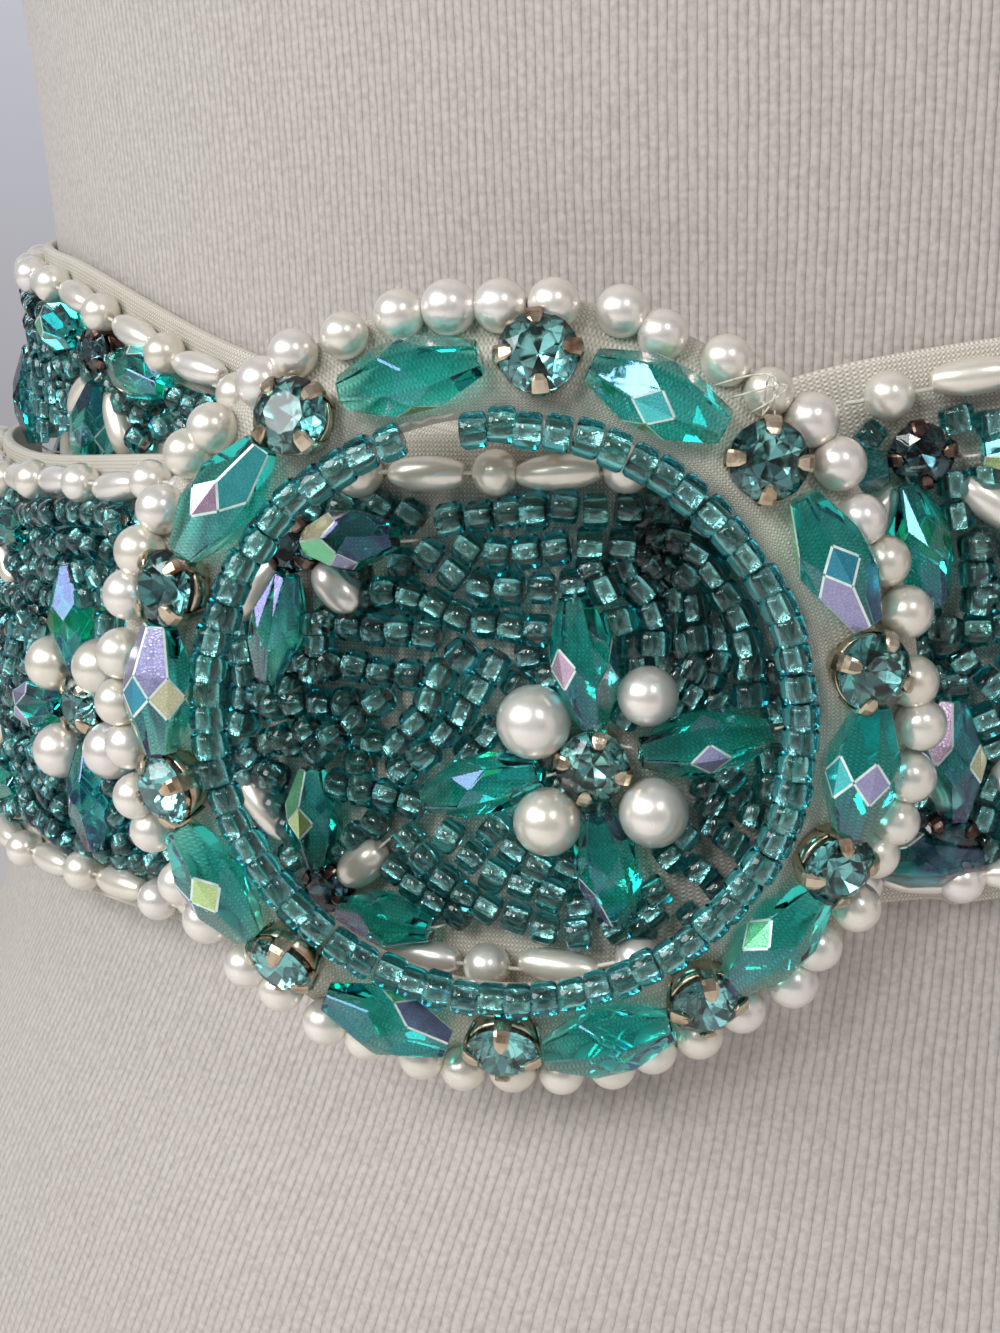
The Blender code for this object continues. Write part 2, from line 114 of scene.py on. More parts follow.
# The strap, as in the part's source, apart from the plain stretch before the bar
STRAP_HEIGHT = 51.0 * MM
STRAP_WALL = 1.4 * MM
BUCKLE_X = -48.5 * MM
TAIL_END = -120.0 * MM
SEAM_GAP = 0.3 * MM
FOLD_BACK = 9.0 * MM
TAIL_ROUND = 5.0 * MM
PLAIN_BEFORE_BAR = 11.0 * MM
UNDER_MARGIN = 1.6 * MM
WRAP_STANDOFF = 0.4 * MM
BAR_DIAMETER = 2.4 * MM
STRAP_RISE = (
    # s, height of the band's middle over the waist line
    (-120.0, -7.0),
    (-75.0, -7.0),
    (-40.0, -4.8),
    (-15.0, -3.0),
    (10.0, -2.0),
    (32.0, 4.8),
    (50.0, 7.5),
    (100.0, 11.5),
    (200.0, 15.0),
    (330.0, 16.0),
    (460.0, 15.5),
)
WRAP_RISE_LEFT = (
    # s before the bar, height of the band's middle over the waist line
    (130.0, 16.0),
    (80.0, 13.5),
    (45.0, 5.0),
    (22.0, -1.0),
    (6.0, -3.0),
    (-6.0, -3.0),
)
STRAP_STANDOFF = (
    # s, distance from the form to the band's inner face
    (-120.0, 7.5),
    (-75.0, 7.5),
    (-40.0, 7.8),
    (-20.0, 7.2),
    (-5.0, 6.6),
    (3.0, 6.3),
    (22.0, 0.5),
    (27.0, 0.4),
    (32.0, 0.4),
)
STRAP_WIDTH_SHARE = (
    # s, share of the full height that the band has there
    (-120.0, 0.91),
    (-75.0, 0.92),
    (-35.0, 0.94),
    (-8.0, 1.0),
    (32.0, 1.0),
)

# How the strap's lower half hangs, for the looks alone
LOWER_SAG = (
    # s, share of the height by which the lower half hangs further down
    (-120.0, 0.02),
    (-60.0, 0.03),
    (-30.0, 0.05),
    (-18.0, 0.07),
    (0.0, 0.05),
    (6.0, 0.04),
    (13.0, -0.02),
    (19.0, -0.10),
    (26.0, -0.05),
    (32.0, 0.0),
)

# Beads of the strap, at the places where the part's source raises them
REPEAT = 57.4 * MM
FIRST_FLOWER = 6.6 * MM
EDGE_LINE = 22.4 * MM
EDGE_START = -4.9 * MM
ROUND_PEARL = 4.2 * MM
RICE_LENGTH = 7.8 * MM
RICE_WIDTH = 3.3 * MM
EDGE_PERIOD = ROUND_PEARL + RICE_LENGTH
HALF_FLOWER_T = 16.0 * MM
FULL_FLOWER_T = -3.2 * MM
FLOWER_TURN = math.radians(8.0)
PEARL_LIFT = 0.5 * MM
FLOWER_PARTS = (
    # kind, angle, distance from the middle, half length, half width
    ("stone", 0.0, 0.0, 3.7, 3.7),
    ("oval", 0.0, 9.7, 6.0, 3.0),
    ("oval", 90.0, 9.7, 6.0, 3.0),
    ("oval", 180.0, 9.7, 6.0, 3.0),
    ("oval", 270.0, 9.7, 6.0, 3.0),
    ("pearl", 45.0, 6.8, 3.1, 3.1),
    ("pearl", 135.0, 6.8, 3.1, 3.1),
    ("pearl", 225.0, 6.8, 3.1, 3.1),
    ("pearl", 315.0, 6.8, 3.1, 3.1),
)
HALF_FLOWER_PARTS = (
    # the same, with the angle from straight up, for the flower under the top edge
    ("dark stone", 0.0, 0.0, 3.2, 3.2),
    ("oval", -90.0, 8.8, 5.6, 2.7),
    ("oval", 90.0, 8.8, 5.6, 2.7),
    ("oval", 180.0, 9.2, 5.6, 2.7),
    ("rice", -135.0, 6.6, 3.9, 1.7),
    ("rice", 135.0, 6.6, 3.9, 1.7),
)

# Beads that lie away from their flower's regular places in the photograph
MOVED_PARTS = (
    # flower, part, move in s, move in t, turn in degrees, half length, half width
    ("full 0", 0, -0.3, -0.6, 0.0, 3.7, 3.7),
    ("full 0", 1, -2.1, -1.3, -17.0, 5.9, 3.1),
    ("full 0", 2, 0.0, -0.9, 0.0, 6.0, 3.1),
    ("full 0", 3, -0.3, -1.5, 6.0, 6.0, 3.0),
    ("full 0", 4, -1.0, -0.3, 0.0, 5.4, 3.1),
    ("full 0", 5, -0.5, 0.0, 0.0, 2.75, 2.75),
    ("full 0", 6, -0.4, -0.6, 0.0, 3.4, 3.4),
    ("full 0", 7, 0.0, -0.4, 0.0, 3.15, 3.15),
    ("full 0", 8, -1.4, -0.9, 0.0, 3.2, 3.2),
    ("top 0", 1, -2.0, 0.1, 0.0, 4.9, 3.0),
    ("top 0", 3, -1.4, 1.2, -14.0, 5.4, 2.9),
    ("top 0", 4, -0.4, 0.3, 0.0, 2.9, 2.0),
    ("bottom 0", 0, 2.8, -1.4, 0.0, 2.7, 2.7),
    ("bottom 0", 1, 0.6, -3.4, 0.0, 4.9, 2.9),
    ("bottom 0", 3, 1.8, -3.6, 0.0, 4.9, 2.9),
    ("bottom 0", 4, 1.9, -3.2, 0.0, 2.8, 2.0),
    ("top 1", 0, -0.3, 0.8, 0.0, 3.1, 3.1),
    ("top 1", 2, 2.1, 0.6, -8.0, 5.6, 2.9),
    ("top 1", 3, -1.3, 2.4, 4.0, 5.6, 2.9),
    ("bottom 1", 0, -2.9, -2.5, 0.0, 3.0, 3.0),
    ("bottom 1", 1, 2.0, -3.0, 0.0, 5.2, 2.8),
    ("bottom 1", 2, 1.4, -4.0, 0.0, 5.2, 2.8),
    ("bottom 1", 3, -0.9, -3.8, 0.0, 5.6, 2.9),
    ("top 11", 0, 0.0, 2.5, 0.0, 2.9, 2.9),
    ("top 11", 1, 0.0, 3.0, 0.0, 5.2, 2.8),
    ("top 11", 2, 0.0, 2.5, 0.0, 5.2, 2.8),
    ("top 11", 3, 0.0, 2.5, 0.0, 5.6, 2.8),
)

# The buckle, as in the part's source
RING_YAW = math.radians(7.0)
RING_TILT = math.radians(2.5)
RING_STANDOFF = 14.2 * MM
RING_CONE = math.radians(22.0)
RING_BASE = 2.0 * MM
STONE_RADIUS = 31.4 * MM
OVAL_RADIUS = 30.6 * MM
PEARL_RADIUS = 35.1 * MM
RING_PEARLS = 48
STONE_ANGLES = (5.4, 43.7, 80.5, 113.1, 144.9, 180.4, 220.7, 256.4, 290.6, 325.7)

# What the looks add to the buckle
NYLON_LOOPS = (
    # angles of the first end, of the middle and of the last end, and how high it stands
    (31.0, 36.5, 39.0, 4.6),
    (34.0, 38.5, 37.5, 3.6),
    (39.5, 36.0, 42.0, 3.0),
)
# The radius at which the loops start, how far they bow outward, and how high they start
NYLON_FROM = 33.2
NYLON_REACH = 3.6
NYLON_LIFT = 2.2
# How far each stone leans outward, in radians
STONE_LEAN = (-0.05, -0.15, 0.05, 0.12, 0.10, 0.12, 0.34, 0.30, 0.22, 0.0)
SEED_LINE = (
    # angle, radius of the line of seed beads along the inner edge
    (0.0, 25.3),
    (40.0, 25.1),
    (110.0, 25.2),
    (150.0, 25.7),
    (185.0, 26.3),
    (240.0, 26.1),
    (280.0, 26.0),
    (330.0, 25.5),
    (360.0, 25.3),
)
SEED_LINE_GAP = (342.5, 349.5)
# The thread that shows in the gap: degrees that it runs past it, radius, lift and wave
GAP_THREAD_PAST = 1.5
GAP_THREAD_RADIUS = 26.4 * MM
GAP_THREAD_LIFT = 0.5 * MM
GAP_THREAD_WAVE = (0.0, 0.2, -0.1, 0.15, -0.1, 0.0)
RING_SEEDS = 67
RING_SEED_LIFT = 1.2 * MM
RING_PEARL_SIZE = 2.25 * MM
RING_PEARL_LIFT = 1.1 * MM
RING_STONE_SIZE = 3.35 * MM
RING_STONE_LIFT = 3.3 * MM
RING_OVAL_HALF = (6.0 * MM, 3.25 * MM)
RING_OVAL_LIFT = 2.7 * MM
RING_CLOTH = (
    # radius, height
    (25.7, 0.3),
    (25.8, 0.8),
    (26.1, 1.3),
    (26.6, 1.7),
    (27.3, 2.0),
    (28.4, 2.2),
    (30.0, 2.25),
    (32.0, 2.2),
    (34.0, 2.1),
    (35.0, 1.8),
    (35.4, 1.2),
    (35.4, 0.5),
    (35.0, 0.1),
    (34.0, 0.0),
    (32.0, 0.0),
    (30.0, 0.0),
    (28.0, 0.0),
    (26.3, 0.0),
    (25.8, 0.1),
)

# A cut oval of radius 1: half its length, its facets in the middle, and those with the long
# ones; then the share of each kind painted with a flash of coloured reflection
OVAL_REACH = 1.95
OVAL_RHOMBS = 6
OVAL_FACETS = 18
RHOMB_FLASH = 0.32
LONG_FLASH = 0.06

# A stone of radius 1 and its cup, and how far beads are sunk, as shares of their half width
STONE_RINGS = (
    # number of points, share of a step that they are turned, radius, height
    (8, 0.0, 0.54, 0.40),
    (8, 0.5, 0.80, 0.25),
    (16, 0.0, 1.0, 0.05),
    (16, 0.0, 1.0, -0.05),
    (1, 0.0, 0.0, -0.62),
    (8, 0.5, 0.42, -0.40),
)
CUP_SEAT = (
    # height, radius
    (-1.0, 0.62),
    (-0.92, 0.80),
    (-0.30, 0.97),
    (-0.24, 0.90),
    (-0.80, 0.60),
)
CUP_CLAW = (
    # radius, height, half width
    (0.86, -0.8, 0.28),
    (1.02, -0.3, 0.25),
    (1.06, 0.04, 0.22),
    (1.02, 0.17, 0.21),
    (0.90, 0.27, 0.20),
    (0.76, 0.34, 0.18),
    (0.62, 0.39, 0.09),
)
CLAW_SECTION = ((1.0, -1.0), (1.0, 0.4), (0.6, 1.0), (-0.6, 1.0), (-1.0, 0.4), (-1.0, -1.0))
CLAW_THICKNESS = 0.05
STONE_SHARE = 0.9
OVAL_SUNK = 0.93
PEARL_SUNK = 0.92
EDGE_PEARL_SUNK = 0.98
EDGE_PEARL_SIZE = 1.06
RICE_SHARE = 0.98

# Threads
THREAD_RADIUS = 0.14 * MM
RING_THREAD_RADIUS = 0.16 * MM
NYLON_RADIUS = 0.09 * MM
EDGE_THREAD_RADIUS = 0.2 * MM
THREAD_PATH = (
    # how far past the bead's end, and lift as a share of the bead's half width
    (-0.6, 0.95),
    (0.15, 0.90),
    (0.9, 0.5),
    (1.3, -0.1),
)

# Seed beads, the strands that they follow, and how the gaps between these are filled
SEED_DIAMETER = 3.2 * MM
SEED_LENGTH = 2.34 * MM
CLEAR_MARGIN = {"oval": 0.2, "pearl": -0.3, "rice": 0.0, "stone": 0.3, "dark stone": 0.3}
FILL_STEP = 0.9 * MM
FILL_ALONG = 2.2 * MM
FILL_ACROSS = 2.45 * MM
FILL_DEPTH = 0.4 * MM
LOWEST_SEED = -19.5 * MM
OPENED = (
    # s, how much further apart the beads lie where the band comes down to the form
    (3.0, 1.0),
    (9.0, 1.3),
    (18.0, 1.3),
    (24.0, 1.0),
)
# The stretches that the camera sees, where the seed beads are finest
NEAR_FIRST = -80.0 * MM
NEAR_LAST = 105.0 * MM
NEAR_LEFT = 115.0 * MM
STRANDS = (
    # lift over the cloth, then the s and t of points, from the full flower's middle in s
    (0.3, (-14.8, 18.2), (-10.3, 18.8), (-4.6, 19.3), (0.5, 19.2), (8.5, 18.6)),
    (0.2, (-10.3, 15.0), (-6.9, 15.1), (-1.8, 15.8), (3.2, 15.4)),
    (0.0, (-17.1, 15.5), (-13.7, 13.4), (-11.4, 12.1), (-5.7, 12.0), (-1.8, 12.8)),
    (0.0, (-21.1, 11.6), (-17.1, 11.1), (-12.6, 9.2), (-7.4, 8.6), (-4.6, 8.6)),
    (0.4, (-31.0, 6.6), (-26.8, 7.8), (-21.7, 7.6), (-14.3, 7.2)),
    (0.2, (-32.0, 3.2), (-27.9, 4.3), (-21.7, 3.8), (-16.6, 3.7)),
    (0.0, (-33.0, -0.4), (-27.4, 0.4), (-22.6, 0.6)),
    (1.2, (-11.0, 6.7), (-13.7, 4.5), (-14.8, 2.0), (-16.0, -0.5), (-18.8, -3.6)),
    (1.0, (-8.4, 6.2), (-9.7, 4.0), (-11.4, 1.3), (-14.8, -3.0), (-18.6, -5.6)),
    (0.9, (-18.8, 1.2), (-21.7, -0.6), (-25.1, -3.5), (-27.2, -5.2)),
    (0.3, (-26.6, -1.9), (-29.1, -3.0), (-32.0, -4.2)),
    (0.6, (-33.0, -7.4), (-29.1, -8.0), (-25.1, -7.4), (-18.3, -8.1), (-15.9, -8.6)),
    (0.0, (-26.4, -10.4), (-22.2, -12.8), (-18.3, -15.6), (-14.3, -17.6), (-11.4, -18.7)),
    (0.3, (-18.6, -10.8), (-14.8, -14.4), (-10.9, -17.0), (-6.3, -18.4)),
    (0.3, (-6.0, -18.5), (-2.4, -19.0), (1.2, -18.5), (4.6, -17.4)),
    (0.6, (-14.6, -10.3), (-11.4, -12.6), (-8.0, -14.6), (-3.2, -16.0)),
    (0.0, (-17.4, -18.3), (-14.4, -20.4), (-9.6, -20.9), (-3.2, -20.9)),
    (0.7, (-10.0, -9.4), (-7.6, -11.6), (-4.2, -13.6)),
    (1.0, (9.8, -6.6), (7.4, -7.8), (6.0, -10.2), (3.6, -12.4), (2.2, -13.6)),
    (0.4, (12.0, -5.4), (10.6, -9.4), (8.2, -12.4), (4.6, -15.2), (2.2, -16.4)),
    (0.2, (14.6, -6.6), (12.6, -11.6), (9.2, -15.4), (5.4, -17.9)),
    (0.4, (8.8, 13.6), (9.6, 11.4), (9.2, 8.2), (8.4, 4.6), (7.0, 2.8)),
    (0.9, (-0.4, 13.7), (0.6, 11.0), (1.5, 8.2)),
    (0.6, (2.4, 12.6), (4.3, 10.2), (4.6, 8.0), (4.5, 5.6)),
    (0.6, (8.2, 16.2), (10.6, 14.2), (12.2, 11.0), (12.9, 7.0), (12.6, 3.0), (11.4, -1.0)),
    (0.2, (11.6, 16.8), (14.2, 13.6), (15.8, 9.4), (16.2, 4.0), (15.4, -2.4), (14.2, -6.0)),
    (0.0, (17.0, 12.6), (18.9, 8.4), (19.4, 3.2), (18.7, -2.6), (17.2, -8.6), (14.4, -13.0)),
    (0.4, (31.3, 9.4), (31.3, 6.8), (31.2, 4.4), (30.9, 2.4)),
    (0.2, (28.4, 5.2), (28.1, 2.8), (27.2, 0.2)),
    (0.0, (22.0, 6.4), (22.6, 3.2), (22.4, 0.0), (21.4, -3.4)),
    (0.3, (25.6, 5.2), (25.4, 2.2), (24.6, -1.2)),
    (0.3, (21.6, -6.4), (25.2, -4.2), (29.4, -3.8)),
    (0.0, (19.2, -10.2), (22.4, -8.2), (26.0, -7.2)),
    (0.0, (17.0, -14.2), (13.0, -17.6), (9.4, -19.6), (6.0, -20.4)),
    (0.0, (12.4, 18.6), (16.6, 15.9), (19.8, 12.4)),
)

# The camera, where the photograph was taken, and the light
CAMERA_PLACE = (-0.05466, -0.25422, 0.28812)
CAMERA_DOWN = math.radians(13.0)
CAMERA_LENS = 47.4
FLOOR_HALF = 2.5
LIGHT_TARGET = (-0.05, -0.10, 0.25)
LIGHTS = (
    # name, place, width and height, watts, colour
    ("key", (-1.15, -0.70, 0.98), (0.9, 0.7), 14.2, (0.97, 0.99, 1.0)),
    ("window_left", (-0.45, -0.85, 0.80), (0.14, 0.28), 2.3, (1.0, 1.0, 1.0)),
    ("window_right", (0.25, -0.90, 0.90), (0.14, 0.24), 1.5, (1.0, 1.0, 1.0)),
    ("fill", (0.95, -0.85, 0.45), (0.9, 0.9), 1.1, (1.0, 0.88, 0.78)),
)
SURROUND_STRENGTH = 0.29
# The surround from below to above, and how much brighter it is behind the form
SURROUND_HEIGHT = ((0.35, (0.34, 0.31, 0.29)), (0.62, (0.92, 0.93, 1.0)))
SURROUND_BEHIND = ((0.55, (1.0, 1.0, 1.0)), (0.80, (2.3, 2.3, 2.4)))


def smooth_curve(table, column, at):
    """A cubic through a table's rows without overshoot, read at the places given."""
    rows = np.array(table)
    x = rows[:, 0]
    y = rows[:, column]
    step = np.diff(x)
    slope = np.diff(y) / step
    bend = np.zeros(len(x))
    same_way = slope[:-1] * slope[1:] > 0
    mean = 2.0 * slope[:-1] * slope[1:] / np.where(same_way, slope[:-1] + slope[1:], 1.0)
    bend[1:-1] = np.where(same_way, mean, 0.0)
    bend[0] = slope[0]
    bend[-1] = slope[-1]
    at = np.clip(at, x[0], x[-1])
    i = np.clip(np.searchsorted(x, at) - 1, 0, len(x) - 2)
    u = (at - x[i]) / step[i]
    start = y[i] * (1 + 2 * u) * (1 - u) ** 2 + step[i] * bend[i] * u * (1 - u) ** 2
    end = y[i + 1] * u ** 2 * (3 - 2 * u) + step[i] * bend[i + 1] * u ** 2 * (u - 1)
    return start + end


def form_point(turn, z):
    """A point of the form's surface and the outward direction there, seen from above."""
    height = np.asarray(z) / MM
    width, depth, middle = (smooth_curve(FORM_SECTIONS, i, height) * MM for i in (1, 2, 3))
    square = smooth_curve(FORM_SECTIONS, 4, height)
    across = np.cos(turn)
    along = np.sin(turn)
    x = np.sign(across) * np.abs(across) ** (2 / square)
    y = np.sign(along) * np.abs(along) ** (2 / square)
    out_x = np.sign(x) * np.abs(x) ** (square - 1) / width
    out_y = np.sign(y) * np.abs(y) ** (square - 1) / depth
    size = np.hypot(out_x, out_y)
    return x * width, middle + y * depth, out_x / size, out_y / size


def waist_table():
    """Turn round the form against length along its waist, for three times round."""
    turn = np.linspace(-3 * math.pi, 3 * math.pi, 3 * 1440 + 1)
    x, y, _, _ = form_point(turn, np.full(turn.shape, WAIST_HEIGHT))
    length = np.concatenate(([0.0], np.cumsum(np.hypot(np.diff(x), np.diff(y)))))
    front_left = (turn > -math.pi) & (turn < -0.5 * math.pi)
    start = np.interp(BUCKLE_X, x[front_left], length[front_left])
    return length - start, turn, length[-1] / 3


WAIST_S, WAIST_TURN, WAIST_LENGTH = waist_table()


def rise(s):
    """Height of the band's middle over the waist line."""
    left = [(WAIST_LENGTH / MM - before, height) for before, height in WRAP_RISE_LEFT]
    return smooth_curve(tuple(STRAP_RISE) + tuple(left), 1, np.asarray(s) / MM) * MM


def band_point(s, t, out):
    """The point at length s and height t of the band, this far out from the form."""
    s = np.asarray(s, dtype=float)
    small = 0.5 * MM
    lean = np.arctan2(rise(s + small) - rise(s - small), 2 * small)
    z = WAIST_HEIGHT + rise(s) + t * np.cos(lean)
    turn = np.interp(s - t * np.sin(lean), WAIST_S, WAIST_TURN)
    x, y, out_x, out_y = form_point(turn, z)
    return np.stack((x + out_x * out, y + out_y * out, z), axis=-1)


def standoff(s):
    """Distance from the form to the band's inner face."""
    return smooth_curve(STRAP_STANDOFF, 1, np.asarray(s) / MM) * MM


def width_share(s):
    """Share of the full height that the band has; it tapers a little to the tail."""
    return smooth_curve(STRAP_WIDTH_SHARE, 1, np.asarray(s) / MM)


def true_height(s, t):
    """Height across the band as worn, where t is that of the full height."""
    sag = smooth_curve(LOWER_SAG, 1, np.asarray(s) / MM)
    return t * (width_share(s) + np.where(np.asarray(t) < 0, sag, 0.0))


def on_band(s, t, lift):
    """A point this far over the band's outer face, where t is that of the full height."""
    return band_point(s, true_height(s, t), standoff(s) + STRAP_WALL + lift)


def band_axes(s, t, angle):
    """Directions at places on the band: along the angle, across it, and outward."""
    small = 0.4 * MM
    along = on_band(s + small, t, 0 * t) - on_band(s - small, t, 0 * t)
    upward = on_band(s, t + small, 0 * t) - on_band(s, t - small, 0 * t)
    along /= np.linalg.norm(along, axis=-1, keepdims=True)
    outward = np.cross(along, upward)
    outward /= np.linalg.norm(outward, axis=-1, keepdims=True)
    upward = np.cross(outward, along)
    cosine = np.cos(angle)[..., None]
    sine = np.sin(angle)[..., None]
    first = along * cosine + upward * sine
    second = np.cross(outward, first)
    return np.stack((first, second, outward), axis=-2)


def under_tail(s, t):
    """True where the tail lies over the band."""
    tail_s = s - WAIST_LENGTH
    z = on_band(s, t, 0 * t)[..., 2]
    beside = np.abs(z - WAIST_HEIGHT - rise(tail_s)) - width_share(tail_s) * STRAP_HEIGHT / 2
    return (tail_s > TAIL_END - UNDER_MARGIN) & (beside < UNDER_MARGIN)


def hidden(s, t):
    """True where the band carries no beads: under the tail and beside the bar."""
    return under_tail(s, t) | (s > WAIST_LENGTH - PLAIN_BEFORE_BAR)


def ring_frame():
    """The ring's middle, its right, its up and its outward direction."""
    place = band_point(np.array(0.0), 0.0, RING_STANDOFF)
    level = math.cos(RING_TILT)
    out = np.array((-math.sin(RING_YAW) * level, -math.cos(RING_YAW) * level, -math.sin(RING_TILT)))
    right = np.array((math.cos(RING_YAW), -math.sin(RING_YAW), 0.0))
    up = -np.cross(right, out)
    return np.array((place[0], place[1], WAIST_HEIGHT)), right, up, out


RING_MIDDLE, RING_RIGHT, RING_UP, RING_OUT = ring_frame()


def ring_points(angle, radius, height):
    """Points in the ring's frame; the angle runs clockwise from the top."""
    cone = height - (radius - STONE_RADIUS) * math.tan(RING_CONE)
    across = (radius * np.sin(angle))[..., None] * RING_RIGHT
    upward = (radius * np.cos(angle))[..., None] * RING_UP
    return RING_MIDDLE + across + upward + np.asarray(cone)[..., None] * RING_OUT


def ring_axes(angle, tilt=0.0):
    """Directions on the ring: clockwise along it, towards its middle or away, and outward."""
    radial = np.sin(angle)[..., None] * RING_RIGHT + np.cos(angle)[..., None] * RING_UP
    along = np.cos(angle)[..., None] * RING_RIGHT - np.sin(angle)[..., None] * RING_UP
    lean = np.asarray(RING_CONE + tilt + 0 * angle)[..., None]
    outward = RING_OUT * np.cos(lean) + radial * np.sin(lean)
    return np.stack((along, np.cross(outward, along), outward), axis=-2)


def stray(spread, count=None):
    """Chance moves in metres, from their spread in millimetres."""
    return RANDOM.normal(0.0, spread, count) * MM


def turns(count):
    """Even turns round a full circle."""
    return np.linspace(0.0, 2 * math.pi, count, endpoint=False)


def uv_grid(along, across):
    """Cloth coordinates of a grid, from those along it and those across it."""
    return np.stack(np.broadcast_arrays(along[:, None], across[None, :]), axis=-1)


def new_object(name, data):
    """An object of the scene that holds this data."""
    obj = bpy.data.objects.new(name, data)
    bpy.context.scene.collection.objects.link(obj)
    return obj


class Shape:
    """Points and faces of one small thing, with a material number and shading per face."""

    def __init__(self, points, faces, material=0, smooth=True):
        self.points = np.array(points, dtype=float)
        self.faces = faces
        self.material = [material] * len(faces)
        self.smooth = [smooth] * len(faces)

    def turned_outward(self):
        """The same shape with the faces of each closed shell turned outward."""
        mesh = bpy.data.meshes.new("turning")
        mesh.from_pydata([tuple(p) for p in self.points], [], self.faces)
        work = bmesh.new()
        work.from_mesh(mesh)
        bmesh.ops.recalc_face_normals(work, faces=work.faces)
        self.faces = [tuple(v.index for v in face.verts) for face in work.faces]
        work.free()
        bpy.data.meshes.remove(mesh)
        return self

    def joined(self, other):
        """This shape and another as one."""
        whole = Shape(np.concatenate((self.points, other.points)), [])
        shift = len(self.points)
        whole.faces = self.faces + [tuple(i + shift for i in face) for face in other.faces]
        whole.material = self.material + other.material
        whole.smooth = self.smooth + other.smooth
        return whole


class Heap:
    """Many copies of small shapes that become one mesh."""

    def __init__(self):
        self.points = []
        self.faces = []
        self.material = []
        self.smooth = []
        self.shade = []
        self.count = 0

    def add(self, shape, places, axes, sizes):
        """Copies of a shape at places, along axes, stretched by sizes along the axes."""
        places = np.atleast_2d(places)
        axes = np.asarray(axes).reshape(-1, 3, 3)
        sizes = np.broadcast_to(np.asarray(sizes, dtype=float), (len(places), 3))
        local = shape.points[None, :, :] * sizes[:, None, :]
        self.points.append((places[:, None, :] + local @ axes).reshape(-1, 3))
        for _ in range(len(places)):
            base = self.count
            self.faces.extend(tuple(base + i for i in face) for face in shape.faces)
            self.count += len(shape.points)
            self.material.extend(shape.material)
            self.smooth.extend(shape.smooth)
            self.shade.extend([RANDOM.random()] * len(shape.faces))

    def make(self, name, materials):
        """One object that holds all the copies."""
        mesh = bpy.data.meshes.new(name)
        mesh.from_pydata(np.concatenate(self.points).tolist(), [], self.faces)
        for material in materials:
            mesh.materials.append(material)
        mesh.polygons.foreach_set("material_index", self.material)
        mesh.polygons.foreach_set("use_smooth", self.smooth)
        shade = mesh.attributes.new("shade", "FLOAT", "FACE")
        shade.data.foreach_set("value", self.shade)
        facet = mesh.attributes.new("facet", "FLOAT", "FACE")
        facet.data.foreach_set("value", RANDOM.random(len(self.faces)))
        square = (0.0, 0.0, 1.0, 0.0, 1.0, 1.0, 0.0, 1.0)
        corners = []
        for face in self.faces:
            corners.extend(square if len(face) == 4 else (0.5, 0.5) * len(face))
        mesh.uv_layers.new(name="face").data.foreach_set("uv", corners)
        mesh.update()
        return new_object(name, mesh)


def turned_profile(profile, segments, closed=True):
    """Points and faces of a profile of (x, radius) turned round the x axis, capped if closed."""
    points = []
    for x, radius in profile:
        points.extend((x, radius * math.cos(a), radius * math.sin(a)) for a in turns(segments))
    return points, grid_faces(len(profile), segments, closed)


def grid_faces(rows, around, closed=True):
    """Faces of a tube of rows with so many points around, capped at both ends if closed."""
    faces = []
    for i in range(rows - 1):
        for k in range(around):
            m = (k + 1) % around
            low = i * around
            high = low + around
            faces.append((low + k, low + m, high + m, high + k))
    if closed:
        last = (rows - 1) * around
        faces.append(tuple(reversed(range(around))))
        faces.append(tuple(range(last, last + around)))
    return faces


def seed_shape(segments, fine):
    """A short glass barrel along x, round a square silver core."""
    if fine:
        half = [(0.99, 0.66), (0.93, 0.88), (0.66, 1.0)]
    else:
        half = [(0.99, 0.72), (0.74, 1.0)]
    profile = [(-x, r) for x, r in half] + list(reversed(half))
    points, faces = turned_profile(profile, segments)
    glass = Shape(points, faces, 0, True)
    glass.smooth[-2:] = [False, False]
    glass = glass.turned_outward()
    return glass.joined(box_shape((0.86, 0.33, 0.33), 1))


def box_shape(half, material):
    """A plain block round the middle."""
    corners = [(x, y, z) for x in (-1, 1) for y in (-1, 1) for z in (-1, 1)]
    points = [(x * half[0], y * half[1], z * half[2]) for x, y, z in corners]
    faces = [(0, 1, 3, 2), (4, 6, 7, 5), (0, 4, 5, 1), (2, 3, 7, 6), (0, 2, 6, 4), (1, 5, 7, 3)]
    return Shape(points, faces, material, False).turned_outward()


def pearl_shape(segments, rows):
    """A ball along x with a small dimple at each end of its hole."""
    profile = []
    for i in range(rows + 1):
        angle = math.pi * (0.04 + 0.92 * i / rows)
        profile.append((-math.cos(angle), math.sin(angle)))
    profile = [(-0.93, 0.07)] + profile + [(0.93, 0.07)]
    points, faces = turned_profile(profile, segments)
    return Shape(points, faces, 0, True).turned_outward()


def rice_shape(segments, rows):
    """A long bead with full shoulders and blunt, dimpled ends, along x."""
    profile = [(-0.93, 0.16), (-0.99, 0.30)]
    for i in range(rows + 1):
        x = -math.cos(math.pi * i / rows)
        profile.append((x * 0.985, 0.46 + 0.54 * (1 - abs(x) ** 2.4) ** 0.8))
    profile.extend([(0.99, 0.30), (0.93, 0.16)])
    points, faces = turned_profile(profile, segments)
    return Shape(points, faces, 0, True).turned_outward()


